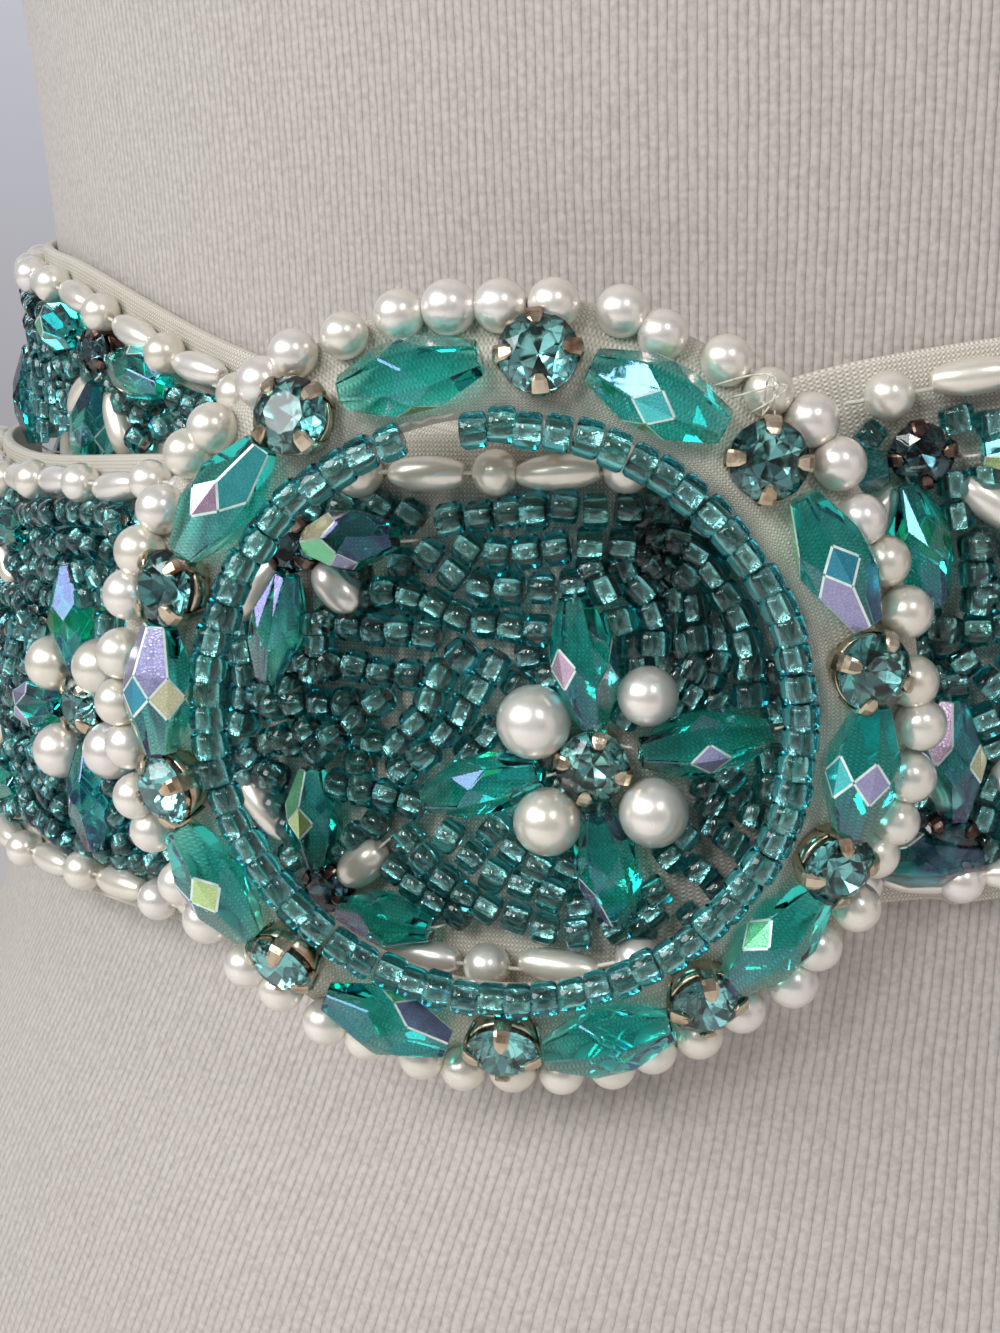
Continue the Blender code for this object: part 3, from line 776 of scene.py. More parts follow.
def chamfered(shape, width):
    """The shape with every edge cut back by a narrow flat strip; its own faces come first."""
    points = []
    place = {}
    faces = []
    for number, face in enumerate(shape.faces):
        corners = shape.points[list(face)]
        normal = np.cross(corners[1] - corners[0], corners[2] - corners[1])
        normal /= np.linalg.norm(normal)
        count = len(face)
        sides = [np.cross(normal, corners[(i + 1) % count] - corners[i]) for i in range(count)]
        sides = [side / np.linalg.norm(side) for side in sides]
        for i in range(count):
            before, after = sides[i - 1], sides[i]
            place[number, face[i]] = len(points)
            points.append(corners[i] + width * (before + after) / (1.0 + before @ after))
        faces.append(tuple(place[number, v] for v in face))
    owner = {}
    for number, face in enumerate(shape.faces):
        for i, v in enumerate(face):
            owner[v, face[(i + 1) % len(face)]] = number
    following = {}
    for (v, w), number in owner.items():
        other = owner[w, v]
        following[v, other] = number
        if v < w:
            faces.append((place[number, v], place[number, w], place[other, w], place[other, v]))
    for v in range(len(shape.points)):
        around = [number for number, face in enumerate(shape.faces) if v in face]
        if not around:
            continue
        loop = [around[0]]
        while len(loop) < len(around):
            loop.append(following[v, loop[-1]])
        faces.append(tuple(place[number, v] for number in loop))
    return Shape(points, faces, 0, False).turned_outward()


def rings_of_points(rings):
    """Points on level rings, from a table of their number, shift, radius and height."""
    points = []
    for count, shift, radius, level in rings:
        for k in range(count):
            turn = 2 * math.pi * (k + shift) / count
            points.append((radius * math.cos(turn), radius * math.sin(turn), level))
    return points


def oval_shape():
    """A long cut glass bead of radius 1: a band of rhombs and long facets to blunt ends."""
    count = OVAL_RHOMBS
    rings = (
        # number of points, share of a step that they are turned, radius, x
        (count, 0.0, 0.46, -OVAL_REACH),
        (count, 0.0, 0.95, -0.62),
        (count, 0.5, 1.0, 0.0),
        (count, 0.0, 0.95, 0.62),
        (count, 0.0, 0.46, OVAL_REACH),
    )
    points = [(x, y, z) for y, z, x in rings_of_points(rings)]

    def at(ring, k):
        return ring * count + k % count

    faces = []
    for k in range(count):
        faces.append((at(1, k), at(2, k), at(3, k), at(2, k - 1)))
    for k in range(count):
        faces.append((at(0, k), at(0, k + 1), at(1, k + 1), at(2, k), at(1, k)))
        faces.append((at(4, k), at(3, k), at(2, k), at(3, k + 1), at(4, k + 1)))
    faces.append(tuple(at(0, k) for k in range(count)))
    faces.append(tuple(at(4, k) for k in reversed(range(count))))
    return chamfered(Shape(points, faces, 0, False).turned_outward(), 0.036)


def stone_shape():
    """A round cut stone: glass above, a faceted foil back below. Its girdle is at z = 0."""
    points = rings_of_points(STONE_RINGS)
    faces = [tuple(range(8))]
    for k in range(8):
        n = (k + 1) % 8
        before = (k - 1) % 8
        rim = 16 + 2 * k
        after = 16 + (2 * k + 2) % 16
        faces.append((k, 8 + k, n))
        faces.append((k, 8 + before, rim, 8 + k))
        faces.append((8 + k, rim, rim + 1))
        faces.append((8 + k, rim + 1, after))
    for k in range(16):
        m = (k + 1) % 16
        faces.append((16 + k, 32 + k, 32 + m, 16 + m))
    glass = len(faces)
    for k in range(8):
        n = (k + 1) % 8
        rim = 32 + 2 * k
        after = 32 + (2 * k + 2) % 16
        faces.append((48, 49 + k, 49 + n))
        faces.append((49 + k, rim, rim + 1))
        faces.append((49 + k, rim + 1, after))
        faces.append((49 + k, after, 49 + n))
    shape = Shape(points, faces, 0, False)
    shape.material = [0] * glass + [1] * (len(faces) - glass)
    return shape.turned_outward()


def cup_shape():
    """The metal seat of a stone of radius 1, standing on z = -1, with four claws over it."""
    points, faces = turned_profile(CUP_SEAT, 24, closed=False)
    points = [(y, z, x) for x, y, z in points]
    shape = Shape(points, faces, 0, True)
    path = np.array([row[:2] for row in CUP_CLAW])
    for claw in range(4):
        turn = math.pi / 4 + claw * math.pi / 2
        outward = np.array((math.cos(turn), math.sin(turn), 0.0))
        side = np.array((-math.sin(turn), math.cos(turn), 0.0))
        rows = []
        for i, (radius, z, half) in enumerate(CUP_CLAW):
            ahead = path[min(i + 1, len(path) - 1)] - path[max(i - 1, 0)]
            ahead = ahead / np.linalg.norm(ahead)
            lift = outward * ahead[1] - np.array((0.0, 0.0, 1.0)) * ahead[0]
            centre = outward * radius + np.array((0.0, 0.0, z))
            rows.append([centre + side * w * half + lift * h * CLAW_THICKNESS
                         for w, h in CLAW_SECTION])
        strip = Shape(np.array(rows).reshape(-1, 3), grid_faces(len(path), 6), 0, False)
        shape = shape.joined(strip.turned_outward())
    return shape


class Nodes:
    """Short calls that add nodes to one material."""

    def __init__(self, name):
        self.material = bpy.data.materials.new(name)
        self.material.use_nodes = True
        self.tree = self.material.node_tree
        self.shader = self.tree.nodes["Principled BSDF"]
        self.output = self.tree.nodes["Material Output"]

    def set(self, **values):
        """Constant values of the shader's sockets, named with underscores for spaces."""
        for name, value in values.items():
            self.shader.inputs[name.replace("_", " ")].default_value = value

    def add(self, kind, **values):
        """A node of this kind; values name its properties."""
        node = self.tree.nodes.new(kind)
        for name, value in values.items():
            setattr(node, name, value)
        return node

    def link(self, source, target):
        """Join one node's socket to another's."""
        self.tree.links.new(source, target)

    def math(self, operation, first, second=0.0):
        """The result of one sum on sockets or numbers."""
        node = self.add("ShaderNodeMath", operation=operation)
        for socket, value in zip(node.inputs, (first, second)):
            if isinstance(value, (int, float)):
                socket.default_value = value
            else:
                self.link(value, socket)
        return node.outputs[0]

    def attribute(self, name):
        """A number that the mesh holds for each face."""
        return self.add("ShaderNodeAttribute", attribute_name=name).outputs["Fac"]

    def place(self):
        """The place in the object's own metres."""
        return self.add("ShaderNodeTexCoord").outputs["Object"]

    def noise(self, scale, detail):
        """Noise by place."""
        node = self.add("ShaderNodeTexNoise")
        node.inputs["Scale"].default_value = scale
        node.inputs["Detail"].default_value = detail
        self.link(self.place(), node.inputs["Vector"])
        return node.outputs["Fac"]

    def ramp(self, value, stops, smooth=True):
        """A colour for each value, from stops of a place and a colour or a grey."""
        node = self.add("ShaderNodeValToRGB")
        node.color_ramp.interpolation = "LINEAR" if smooth else "CONSTANT"
        elements = node.color_ramp.elements
        while len(elements) < len(stops):
            elements.new(0.5)
        for element, (place, colour) in zip(elements, stops):
            element.position = place
            element.color = (*colour, 1.0) if isinstance(colour, tuple) else (*[colour] * 3, 1.0)
        self.link(value, node.inputs["Fac"])
        return node.outputs["Color"]

    def tinted(self, first, second):
        """One colour multiplied by another."""
        node = self.add("ShaderNodeMix", data_type="RGBA", blend_type="MULTIPLY")
        sockets = {socket.name: socket for socket in node.inputs if socket.enabled}
        sockets["Factor"].default_value = 1.0
        self.link(first, sockets["A"])
        self.link(second, sockets["B"])
        return [socket for socket in node.outputs if socket.enabled][0]

    def sum(self, first, second):
        """Two values added."""
        return self.math("ADD", first, second)

    def product(self, first, second):
        """Two values multiplied."""
        return self.math("MULTIPLY", first, second)

    def colour(self, value):
        """The shader's base colour, from a node's result."""
        self.link(value, self.shader.inputs["Base Color"])

    def rough(self, value, low, high):
        """The shader's roughness, between two limits."""
        self.link(self.spread(value, low, high), self.shader.inputs["Roughness"])

    def spread(self, value, low, high):
        """A value from 0 to 1 taken to the range from low to high."""
        node = self.add("ShaderNodeMapRange")
        node.inputs["To Min"].default_value = low
        node.inputs["To Max"].default_value = high
        self.link(value, node.inputs["Value"])
        return node.outputs["Result"]

    def bump(self, height, distance, strength=1.0):
        """Bump from a height in units of the distance."""
        node = self.add("ShaderNodeBump")
        node.inputs["Strength"].default_value = strength
        node.inputs["Distance"].default_value = distance
        self.link(height, node.inputs["Height"])
        self.link(node.outputs["Normal"], self.shader.inputs["Normal"])

    def uv(self):
        """The two coordinates along and across the cloth."""
        node = self.add("ShaderNodeSeparateXYZ")
        self.link(self.add("ShaderNodeUVMap", uv_map="cloth").outputs["UV"], node.inputs[0])
        return node.outputs["X"], node.outputs["Y"]

    def absorb(self, colour, density):
        """Glass that takes light as it passes through."""
        node = self.add("ShaderNodeVolumeAbsorption")
        node.inputs["Color"].default_value = (*colour, 1.0)
        node.inputs["Density"].default_value = density
        self.link(node.outputs[0], self.output.inputs["Volume"])


def jersey_material():
    """Cream rib-knit jersey: fine upright ribs with small stitches in each."""
    nodes = Nodes("rib_jersey")
    round_form, up_form = nodes.uv()
    ribs = nodes.product(round_form, RIB_COUNT)
    ribs = nodes.sum(ribs, nodes.product(nodes.noise(60.0, 2.0), 0.7))
    ribs = nodes.sum(ribs, nodes.product(nodes.noise(700.0, 2.0), 0.22))
    wave = nodes.math("ABSOLUTE", nodes.math("SINE", nodes.product(ribs, math.pi)))
    rib = nodes.math("POWER", wave, 0.6)
    stitch = nodes.math("SINE", nodes.product(up_form, 2 * math.pi / STITCH_HEIGHT))
    height = nodes.sum(rib, nodes.product(stitch, 0.10))
    height = nodes.sum(height, nodes.product(nodes.noise(2600.0, 3.0), 0.35))
    # Painted shade: the valleys between the ribs are painted darker, the rib tops lighter
    tone = nodes.ramp(rib, ((0.0, (0.39, 0.338, 0.294)), (0.4, (0.507, 0.468, 0.43)),
                            (1.0, (0.554, 0.518, 0.486))))
    patch = nodes.ramp(nodes.noise(9.0, 4.0), ((0.3, (0.93, 0.92, 0.90)), (0.7, 1.0)))
    lint = nodes.ramp(nodes.noise(1500.0, 4.0), ((0.32, (0.80, 0.79, 0.78)), (0.62, 1.0)))
    nodes.colour(nodes.tinted(nodes.tinted(tone, lint), patch))
    nodes.set(Roughness=0.88, Sheen_Weight=0.25, Sheen_Roughness=0.5)
    nodes.bump(height, 0.14 * MM, 0.8)
    return nodes.material


def weave_material():
    """Ivory cloth in a fine plain weave with a soft shine."""
    nodes = Nodes("ivory_cloth")
    along, across = nodes.uv()
    warp = nodes.math("SINE", nodes.product(along, 2 * math.pi / WARP_PITCH))
    weft = nodes.math("SINE", nodes.product(across, 2 * math.pi / WEFT_PITCH))
    cross = nodes.sum(nodes.product(nodes.product(warp, weft), 0.25),
                      nodes.product(nodes.sum(warp, weft), 0.125))
    height = nodes.sum(cross, 0.5)
    pucker = nodes.noise(160.0, 3.0)
    raised = nodes.sum(height, nodes.product(pucker, 2.2))
    # Painted shade: the low places of the weave, between the threads, are painted darker
    tone = nodes.ramp(height, ((0.15, (0.26, 0.23, 0.18)), (0.45, (0.60, 0.56, 0.48)),
                               (0.7, (0.78, 0.75, 0.67))))
    patch = nodes.ramp(nodes.noise(30.0, 4.0), ((0.3, (0.92, 0.91, 0.88)), (0.7, 1.0)))
    nodes.colour(nodes.tinted(tone, patch))
    nodes.rough(pucker, 0.42, 0.62)
    nodes.set(Sheen_Weight=0.3, Sheen_Roughness=0.35)
    nodes.bump(raised, 0.14 * MM, 0.9)
    return nodes.material


def pearl_material():
    """Cream pearl coating with a pinkish depth and small flaws."""
    nodes = Nodes("pearl")
    shade = nodes.attribute("shade")
    tone = nodes.ramp(shade, ((0.0, (0.82, 0.78, 0.67)), (0.5, (0.88, 0.85, 0.77)),
                              (1.0, (0.87, 0.83, 0.79))))
    clouds = nodes.ramp(nodes.noise(700.0, 2.0), ((0.3, (0.95, 0.93, 0.90)), (0.7, 1.0)))
    nodes.colour(nodes.tinted(tone, clouds))
    nodes.rough(nodes.noise(500.0, 3.0), 0.24, 0.36)
    nodes.set(Metallic=0.55, Subsurface_Weight=0.1, Subsurface_Scale=1.0 * MM, Coat_Weight=0.7,
              Coat_Roughness=0.10, Coat_IOR=1.6)
    nodes.bump(nodes.noise(900.0, 2.0), 0.05 * MM, 0.5)
    return nodes.material


def crystal_material():
    """Clear green-blue glass of the cut beads under a thin rainbow film."""
    nodes = Nodes("teal_crystal")
    shade = nodes.attribute("shade")
    nodes.colour(nodes.ramp(shade, ((0.0, (0.80, 1.0, 0.94)), (1.0, (0.86, 0.99, 1.0)))))
    nodes.rough(nodes.noise(700.0, 3.0), 0.01, 0.06)
    nodes.set(Transmission_Weight=1.0, IOR=1.53, Thin_Film_Thickness=340.0, Thin_Film_IOR=1.75)
    nodes.bump(nodes.noise(500.0, 2.0), 0.04 * MM, 0.25)
    nodes.absorb((0.0, 0.932, 0.915), 340.0)
    return nodes.material


def painted_flash_material():
    """Facets painted with the bright colour that the film throws back, a painted reflection on a
    metallic coat, crackled and uneven.
    """
    nodes = Nodes("crystal_painted_flash")
    facet = nodes.attribute("facet")
    # Painted reflection: each flashing facet gets one fixed colour of the film's coloured flash
    tint = nodes.ramp(facet, (
        (0.00, (0.25, 0.85, 0.42)),
        (0.16, (0.62, 0.80, 0.36)),
        (0.30, (0.78, 0.76, 0.50)),
        (0.44, (0.10, 0.70, 0.72)),
        (0.58, (0.42, 0.40, 0.66)),
        (0.72, (0.66, 0.46, 0.62)),
        (0.84, (0.05, 0.36, 0.52)),
        (0.93, (0.60, 0.66, 0.66)),
    ), smooth=False)
    crackle = nodes.add("ShaderNodeTexVoronoi", feature="DISTANCE_TO_EDGE")
    crackle.inputs["Scale"].default_value = 3200.0
    nodes.link(nodes.place(), crackle.inputs["Vector"])
    distance = crackle.outputs["Distance"]
    lines = nodes.ramp(distance, ((0.0, (0.70, 0.78, 0.76)), (0.18, 1.0)))
    nodes.colour(nodes.tinted(tint, lines))
    nodes.rough(nodes.noise(900.0, 3.0), 0.16, 0.34)
    nodes.set(Metallic=0.8, Coat_Weight=0.5, Coat_Roughness=0.05)
    nodes.bump(distance, 0.05 * MM, 0.3)
    return nodes.material


def painted_edge_glint_material():
    """Painted glint: bright edges round the facets that flash, mottled by noise."""
    nodes = Nodes("crystal_painted_edge_glint")
    wear_and_glint_mottle = nodes.noise(1200.0, 3.0)
    # Painted glint: pale bright colours along the chamfers
    nodes.colour(nodes.ramp(wear_and_glint_mottle, ((0.3, (0.55, 0.80, 0.72)), (0.6, (0.86, 0.95, 0.91)))))
    nodes.rough(wear_and_glint_mottle, 0.25, 0.45)
    nodes.set(Metallic=0.5)
    return nodes.material


def stone_glass_material():
    """Clear aqua glass of the round stones."""
    nodes = Nodes("aqua_stone")
    shade = nodes.attribute("shade")
    nodes.colour(nodes.ramp(shade, ((0.0, (0.82, 0.97, 0.97)), (1.0, (0.90, 0.99, 0.98)))))
    nodes.rough(nodes.noise(600.0, 3.0), 0.0, 0.03)
    nodes.set(Transmission_Weight=1.0, IOR=1.58)
    nodes.absorb((0.25, 0.86, 0.85), 75.0)
    return nodes.material


def foil_material(name, colour):
    """The silvered back of a stone, seen through its glass, with painted light and shade on its
    facets.
    """
    nodes = Nodes(name)
    facet = nodes.attribute("facet")
    # Painted sparkle: each facet is painted darker or brighter at random, as light and shade on the
    # cut
    painted_dark_facet = tuple(0.35 * c for c in colour)
    painted_bright_facet = tuple(min(1.0, 1.5 * c) for c in colour)
    nodes.colour(nodes.ramp(facet, ((0.0, painted_dark_facet), (0.45, colour), (1.0, painted_bright_facet))))
    nodes.rough(nodes.noise(900.0, 2.0), 0.05, 0.16)
    nodes.set(Metallic=1.0)
    return nodes.material


def seed_glass_material():
    """Blue-green glass of the seed beads."""
    nodes = Nodes("seed_glass")
    shade = nodes.attribute("shade")
    nodes.colour(nodes.ramp(shade, ((0.0, (0.84, 0.95, 0.99)), (0.5, (0.96, 0.99, 1.0)),
                                    (1.0, (0.90, 1.0, 0.96)))))
    nodes.rough(nodes.noise(600.0, 2.0), 0.0, 0.05)
    nodes.set(Transmission_Weight=1.0, IOR=1.5)
    nodes.bump(nodes.noise(450.0, 2.0), 0.06 * MM, 0.35)
    nodes.absorb((0.0, 0.855, 0.912), 640.0)
    return nodes.material


def silver_material():
    """The silver lining of a seed bead's square hole: painted highlights along its edges, painted
    shade between, and a painted glint brighter on some beads than on others.
    """
    nodes = Nodes("silver_lining")
    split = nodes.add("ShaderNodeSeparateXYZ")
    nodes.link(nodes.add("ShaderNodeUVMap", uv_map="face").outputs["UV"], split.inputs[0])
    sides = [nodes.math("ABSOLUTE", nodes.math("SUBTRACT", split.outputs[i], 0.5)) for i in (0, 1)]
    rim = nodes.math("MAXIMUM", sides[0], sides[1])
    mottle = nodes.noise(1300.0, 4.0)
    place = nodes.sum(rim, nodes.product(nodes.math("SUBTRACT", mottle, 0.5), 0.4))
    # Painted highlight at the rim of each face, painted shade towards its middle
    tone = nodes.ramp(place, ((0.16, (0.50, 0.31, 0.26)), (0.31, (0.76, 0.51, 0.44)),
                              (0.37, (1.0, 0.80, 0.73))))
    # Painted glint: some beads are painted brighter, others darker
    painted_glint = nodes.ramp(nodes.attribute("shade"), ((0.0, 0.60), (0.6, 1.0)))
    nodes.colour(nodes.tinted(tone, painted_glint))
    polish = nodes.ramp(place, ((0.16, 0.42), (0.36, 0.13)))
    nodes.link(polish, nodes.shader.inputs["Roughness"])
    nodes.set(Metallic=0.8)
    nodes.bump(nodes.sum(rim, mottle), 0.35 * MM, 0.8)
    return nodes.material


def brass_material(name, hollow, middle, bright):
    """Worn metal, from the colour of its hollows to that of its polished places."""
    nodes = Nodes(name)
    wear_and_glint_mottle = nodes.noise(420.0, 5.0)
    nodes.colour(nodes.ramp(wear_and_glint_mottle, ((0.30, hollow), (0.46, middle), (0.72, bright))))
    nodes.rough(wear_and_glint_mottle, 0.14, 0.34)
    nodes.set(Metallic=1.0)
    nodes.bump(nodes.noise(1400.0, 3.0), 0.03 * MM, 0.5)
    return nodes.material


def thread_material():
    """Pale bead thread with a slight twist."""
    nodes = Nodes("bead_thread")
    fibre = nodes.noise(2200.0, 3.0)
    nodes.colour(nodes.ramp(fibre, ((0.3, (0.58, 0.56, 0.48)), (0.7, (0.80, 0.78, 0.70)))))
    nodes.rough(fibre, 0.35, 0.6)
    nodes.bump(fibre, 0.04 * MM, 0.6)
    return nodes.material


def board_material():
    """Painted board under the form."""
    nodes = Nodes("base_board")
    grain = nodes.noise(220.0, 5.0)
    nodes.colour(nodes.ramp(grain, ((0.3, (0.50, 0.46, 0.40)), (0.7, (0.60, 0.56, 0.50)))))
    nodes.rough(grain, 0.55, 0.75)
    nodes.bump(grain, 0.1 * MM, 0.5)
    return nodes.material


def floor_material():
    """A plain pale floor."""
    nodes = Nodes("floor")
    nodes.set(Base_Color=(0.86, 0.83, 0.80, 1.0), Roughness=0.8)
    return nodes.material


def surface_object(name, points, uvs, material, wrap_columns=False, wrap_rows=False):
    """A smooth surface through a grid of points, with its cloth coordinates."""
    columns, rows = points.shape[:2]
    faces = []
    corners = []
    for i in range(columns if wrap_columns else columns - 1):
        for j in range(rows if wrap_rows else rows - 1):
            square = ((i, j), (i + 1, j), (i + 1, j + 1), (i, j + 1))
            faces.append(tuple((a % columns) * rows + b % rows for a, b in square))
            corners.extend((a, b) for a, b in square)
    mesh = bpy.data.meshes.new(name)
    mesh.from_pydata(points.reshape(-1, 3).tolist(), [], faces)
    layer = mesh.uv_layers.new(name="cloth")
    a, b = np.array(corners).T
    layer.data.foreach_set("uv", uvs[a, b].reshape(-1))
    mesh.materials.append(material)
    mesh.shade_smooth()
    return new_object(name, mesh)


def cap_open_ends(obj, loops):
    """Close the surface's ends with one face each, and turn the whole outward."""
    work = bmesh.new()
    work.from_mesh(obj.data)
    work.verts.ensure_lookup_table()
    for loop in loops:
        work.faces.new([work.verts[i] for i in loop])
    bmesh.ops.recalc_face_normals(work, faces=work.faces)
    work.to_mesh(obj.data)
    work.free()


def build_jersey(material):
    """The rib-knit cover of the form, open underneath and closed over the neck."""
    columns = 260
    fine = np.concatenate((np.arange(1.0, 560.0, 5.0), np.arange(560.0, 660.0, 2.5),
                           np.arange(660.0, FORM_TOP + 0.1, 1.0)))
    turn = np.linspace(-1.5 * math.pi, 0.5 * math.pi, columns, endpoint=False)
    x, y, _, _ = form_point(turn[:, None], fine[None, :] * MM)
    z = np.broadcast_to(fine[None, :] * MM, x.shape)
    points = np.stack((x, y, z), axis=-1)
    middle = points[:, -1].mean(axis=0)
    inner = [middle + (points[:, -1] - middle) * share for share in (0.75, 0.5, 0.25, 0.02)]
    points = np.concatenate((points, np.stack(inner, axis=1)), axis=1)
    front = np.interp(-0.5 * math.pi, WAIST_TURN, WAIST_S)
    share = (np.interp(np.append(turn, 0.5 * math.pi), WAIST_TURN, WAIST_S) - front) / WAIST_LENGTH
    height = np.concatenate((fine * MM, FORM_TOP * MM + np.arange(1, 5) * 10 * MM))
    spread = 1.0 - smooth_curve(RIB_SPREAD, 1, height / MM)
    uvs = uv_grid(share, height)
    uvs[..., 0] *= spread
    obj = surface_object("jersey_cover", points, uvs, material, wrap_columns=True)
    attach(obj, "root")
    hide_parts("dress_form")


def build_board(material):
    """The board that closes the form's base, just inside the cover's hem."""
    columns = 96
    middle = FORM_SECTIONS[0][3] * MM
    turn = turns(columns)
    rings = []
    for height, share in BOARD_RINGS:
        x, y, _, _ = form_point(turn, np.full(columns, 0.0))
        y = middle + (y - middle) * share
        rings.append(np.stack((x * share, y, 0 * x + height * MM), axis=-1))
    points = np.stack(rings, axis=1)
    uvs = points[:, :, :2]
    uvs = np.concatenate((uvs, uvs[:1]))
    obj = surface_object("base_board", points, uvs, material, wrap_columns=True)
    rows = len(BOARD_RINGS)
    loops = [[i * rows + j for i in range(columns)] for j in (0, rows - 1)]
    cap_open_ends(obj, loops)
    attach(obj, "root")


def band_section():
    """Places round the band's cross-section: height t, and share of the wall from inside."""
    half = STRAP_HEIGHT / 2
    edge = 0.55 * MM
    outer = np.linspace(-(half - edge), half - edge, 30)
    inner = np.linspace(half - edge, -(half - edge), 10)
    bends = np.radians((22.0, 55.0, 90.0, 125.0, 158.0))
    top = [(half - edge + edge * math.sin(a), 0.5 + 0.5 * math.cos(a)) for a in bends]
    bottom = [(-(half - edge) - edge * math.sin(a), 0.5 - 0.5 * math.cos(a)) for a in bends]
    rows = [(t, 1.0) for t in outer] + top + [(t, 0.0) for t in inner] + bottom
    return np.array(rows)


def build_band(material):
    """The whole cloth of the belt: tail, bar, round the waist, and the fold round the bar."""
    bar_out = WRAP_STANDOFF + STRAP_WALL + SEAM_GAP + BAR_DIAMETER / 2
    small = BAR_DIAMETER / 2 + SEAM_GAP
    large = small + STRAP_WALL
    rows = band_section()
    t = rows[None, :, 0]
    wall = rows[None, :, 1] * STRAP_WALL
    near_end = TAIL_END + TAIL_ROUND * np.array((0.0, 0.04, 0.12, 0.25, 0.45, 0.7))
    s = np.concatenate((near_end, np.arange(TAIL_END + TAIL_ROUND, WAIST_LENGTH - large, 1.25 * MM)))
    s = s[:, None]
    end_round = np.clip((s - TAIL_END) / TAIL_ROUND, 0.0, 1.0)
    narrow = 0.9 + 0.1 * np.sqrt(1 - (1 - end_round) ** 2)
    run = band_point(s + 0 * t, true_height(s, t) * narrow, standoff(s) + wall)

    bends = np.radians(np.arange(-90.0, 91.0, 15.0))
    lift = np.append(np.sin(bends), 1.0)[:, None]
    reach = np.append(np.cos(bends), 0.0)[:, None]
    radius = small + (large - small) * (1.0 - rows[None, :, 1])
    fold_s = WAIST_LENGTH + reach * radius - np.append(0 * bends, FOLD_BACK)[:, None]
    fold = band_point(fold_s, t + 0 * fold_s, bar_out + lift * radius)
    points = np.concatenate((run, fold))
    length = np.concatenate((s[:, 0], s[-1, 0] + np.arange(1, len(fold) + 1) * 0.8 * MM))
    around = np.append(rows[:, 0], rows[0, 0])
    uvs = uv_grid(length, around)
    obj = surface_object("band_cloth", points, uvs, material, wrap_rows=True)
    count = len(rows)
    last = (len(points) - 1) * count
    cap_open_ends(obj, [list(range(count)), list(range(last, last + count))])
    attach(obj, "root")
    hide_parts("strap_through_buckle", "strap_round_waist")
    return obj


def build_ring_cloth(material):
    """The cloth over the ring's stiff core."""
    columns = 240
    turn = turns(columns)[:, None]
    radius = np.array([r for r, _ in RING_CLOTH])[None, :] * MM + 0 * turn
    height = np.array([h for _, h in RING_CLOTH])[None, :] * MM + 0 * turn
    top = height > 1.6 * MM
    height = height + top * 0.14 * MM * np.sin(turn * 37 + radius * 900) * np.sin(turn * 11)
    points = ring_points(turn + 0 * radius, radius, height)
    around = np.arange(len(RING_CLOTH) + 1) * 1.2 * MM
    along = np.arange(columns + 1) / columns * 2 * math.pi * 30 * MM
    uvs = uv_grid(along, around)
    obj = surface_object("ring_cloth", points, uvs, material, wrap_columns=True, wrap_rows=True)
    cap_open_ends(obj, [])
    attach(obj, "root")
    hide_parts("buckle_ring")


def flower_places():
    """Every part of every flower: kind, s, t, angle, half length and half width."""
    moved = {(row[0], row[1]): row[2:] for row in MOVED_PARTS}
    first = math.ceil((TAIL_END - FIRST_FLOWER) / REPEAT)
    last = math.ceil((WAIST_LENGTH - FIRST_FLOWER) / REPEAT)
    found = []
    for k in range(first, last + 1):
        middle = FIRST_FLOWER + k * REPEAT
        for flower, side, table in (("full", 0.0, FLOWER_PARTS), ("top", 1.0, HALF_FLOWER_PARTS),
                                    ("bottom", -1.0, HALF_FLOWER_PARTS)):
            for number, (kind, angle, distance, half_length, half_width) in enumerate(table):
                move = (0.0, 0.0, 0.0, half_length, half_width)
                move = moved.get((f"{flower} {k}", number), move)
                ds, dt, turn, half_length, half_width = move
                if side == 0.0:
                    way = math.radians(angle) + FLOWER_TURN
                    s = middle + distance * MM * math.cos(way)
                    t = FULL_FLOWER_T + distance * MM * math.sin(way)
                else:
                    way = math.radians(angle) + math.pi / 2
                    s = middle - REPEAT / 2 + distance * MM * math.cos(way)
                    t = side * (HALF_FLOWER_T + distance * MM * math.sin(way))
                    way = side * way
                way = way + math.radians(turn)
                found.append((kind, s + ds * MM, t + dt * MM, way, half_length * MM, half_width * MM))
    kept = []
    for part in found:
        inside = TAIL_END + 4 * MM < part[1] < WAIST_LENGTH - PLAIN_BEFORE_BAR
        if inside and not hidden(np.array(part[1]), np.array(part[2])):
            kept.append(part)
    return kept


def add_on_band(heap, shape, s, t, angle, lift, sizes, spin=0.0):
    """Copies of a shape over the band's cloth, turned by spin round their own length."""
    s, t, angle, lift = (np.atleast_1d(np.asarray(v, dtype=float)) for v in (s, t, angle, lift))
    heap.add(shape, on_band(s, t, lift), spun(band_axes(s, t, angle), spin), sizes)


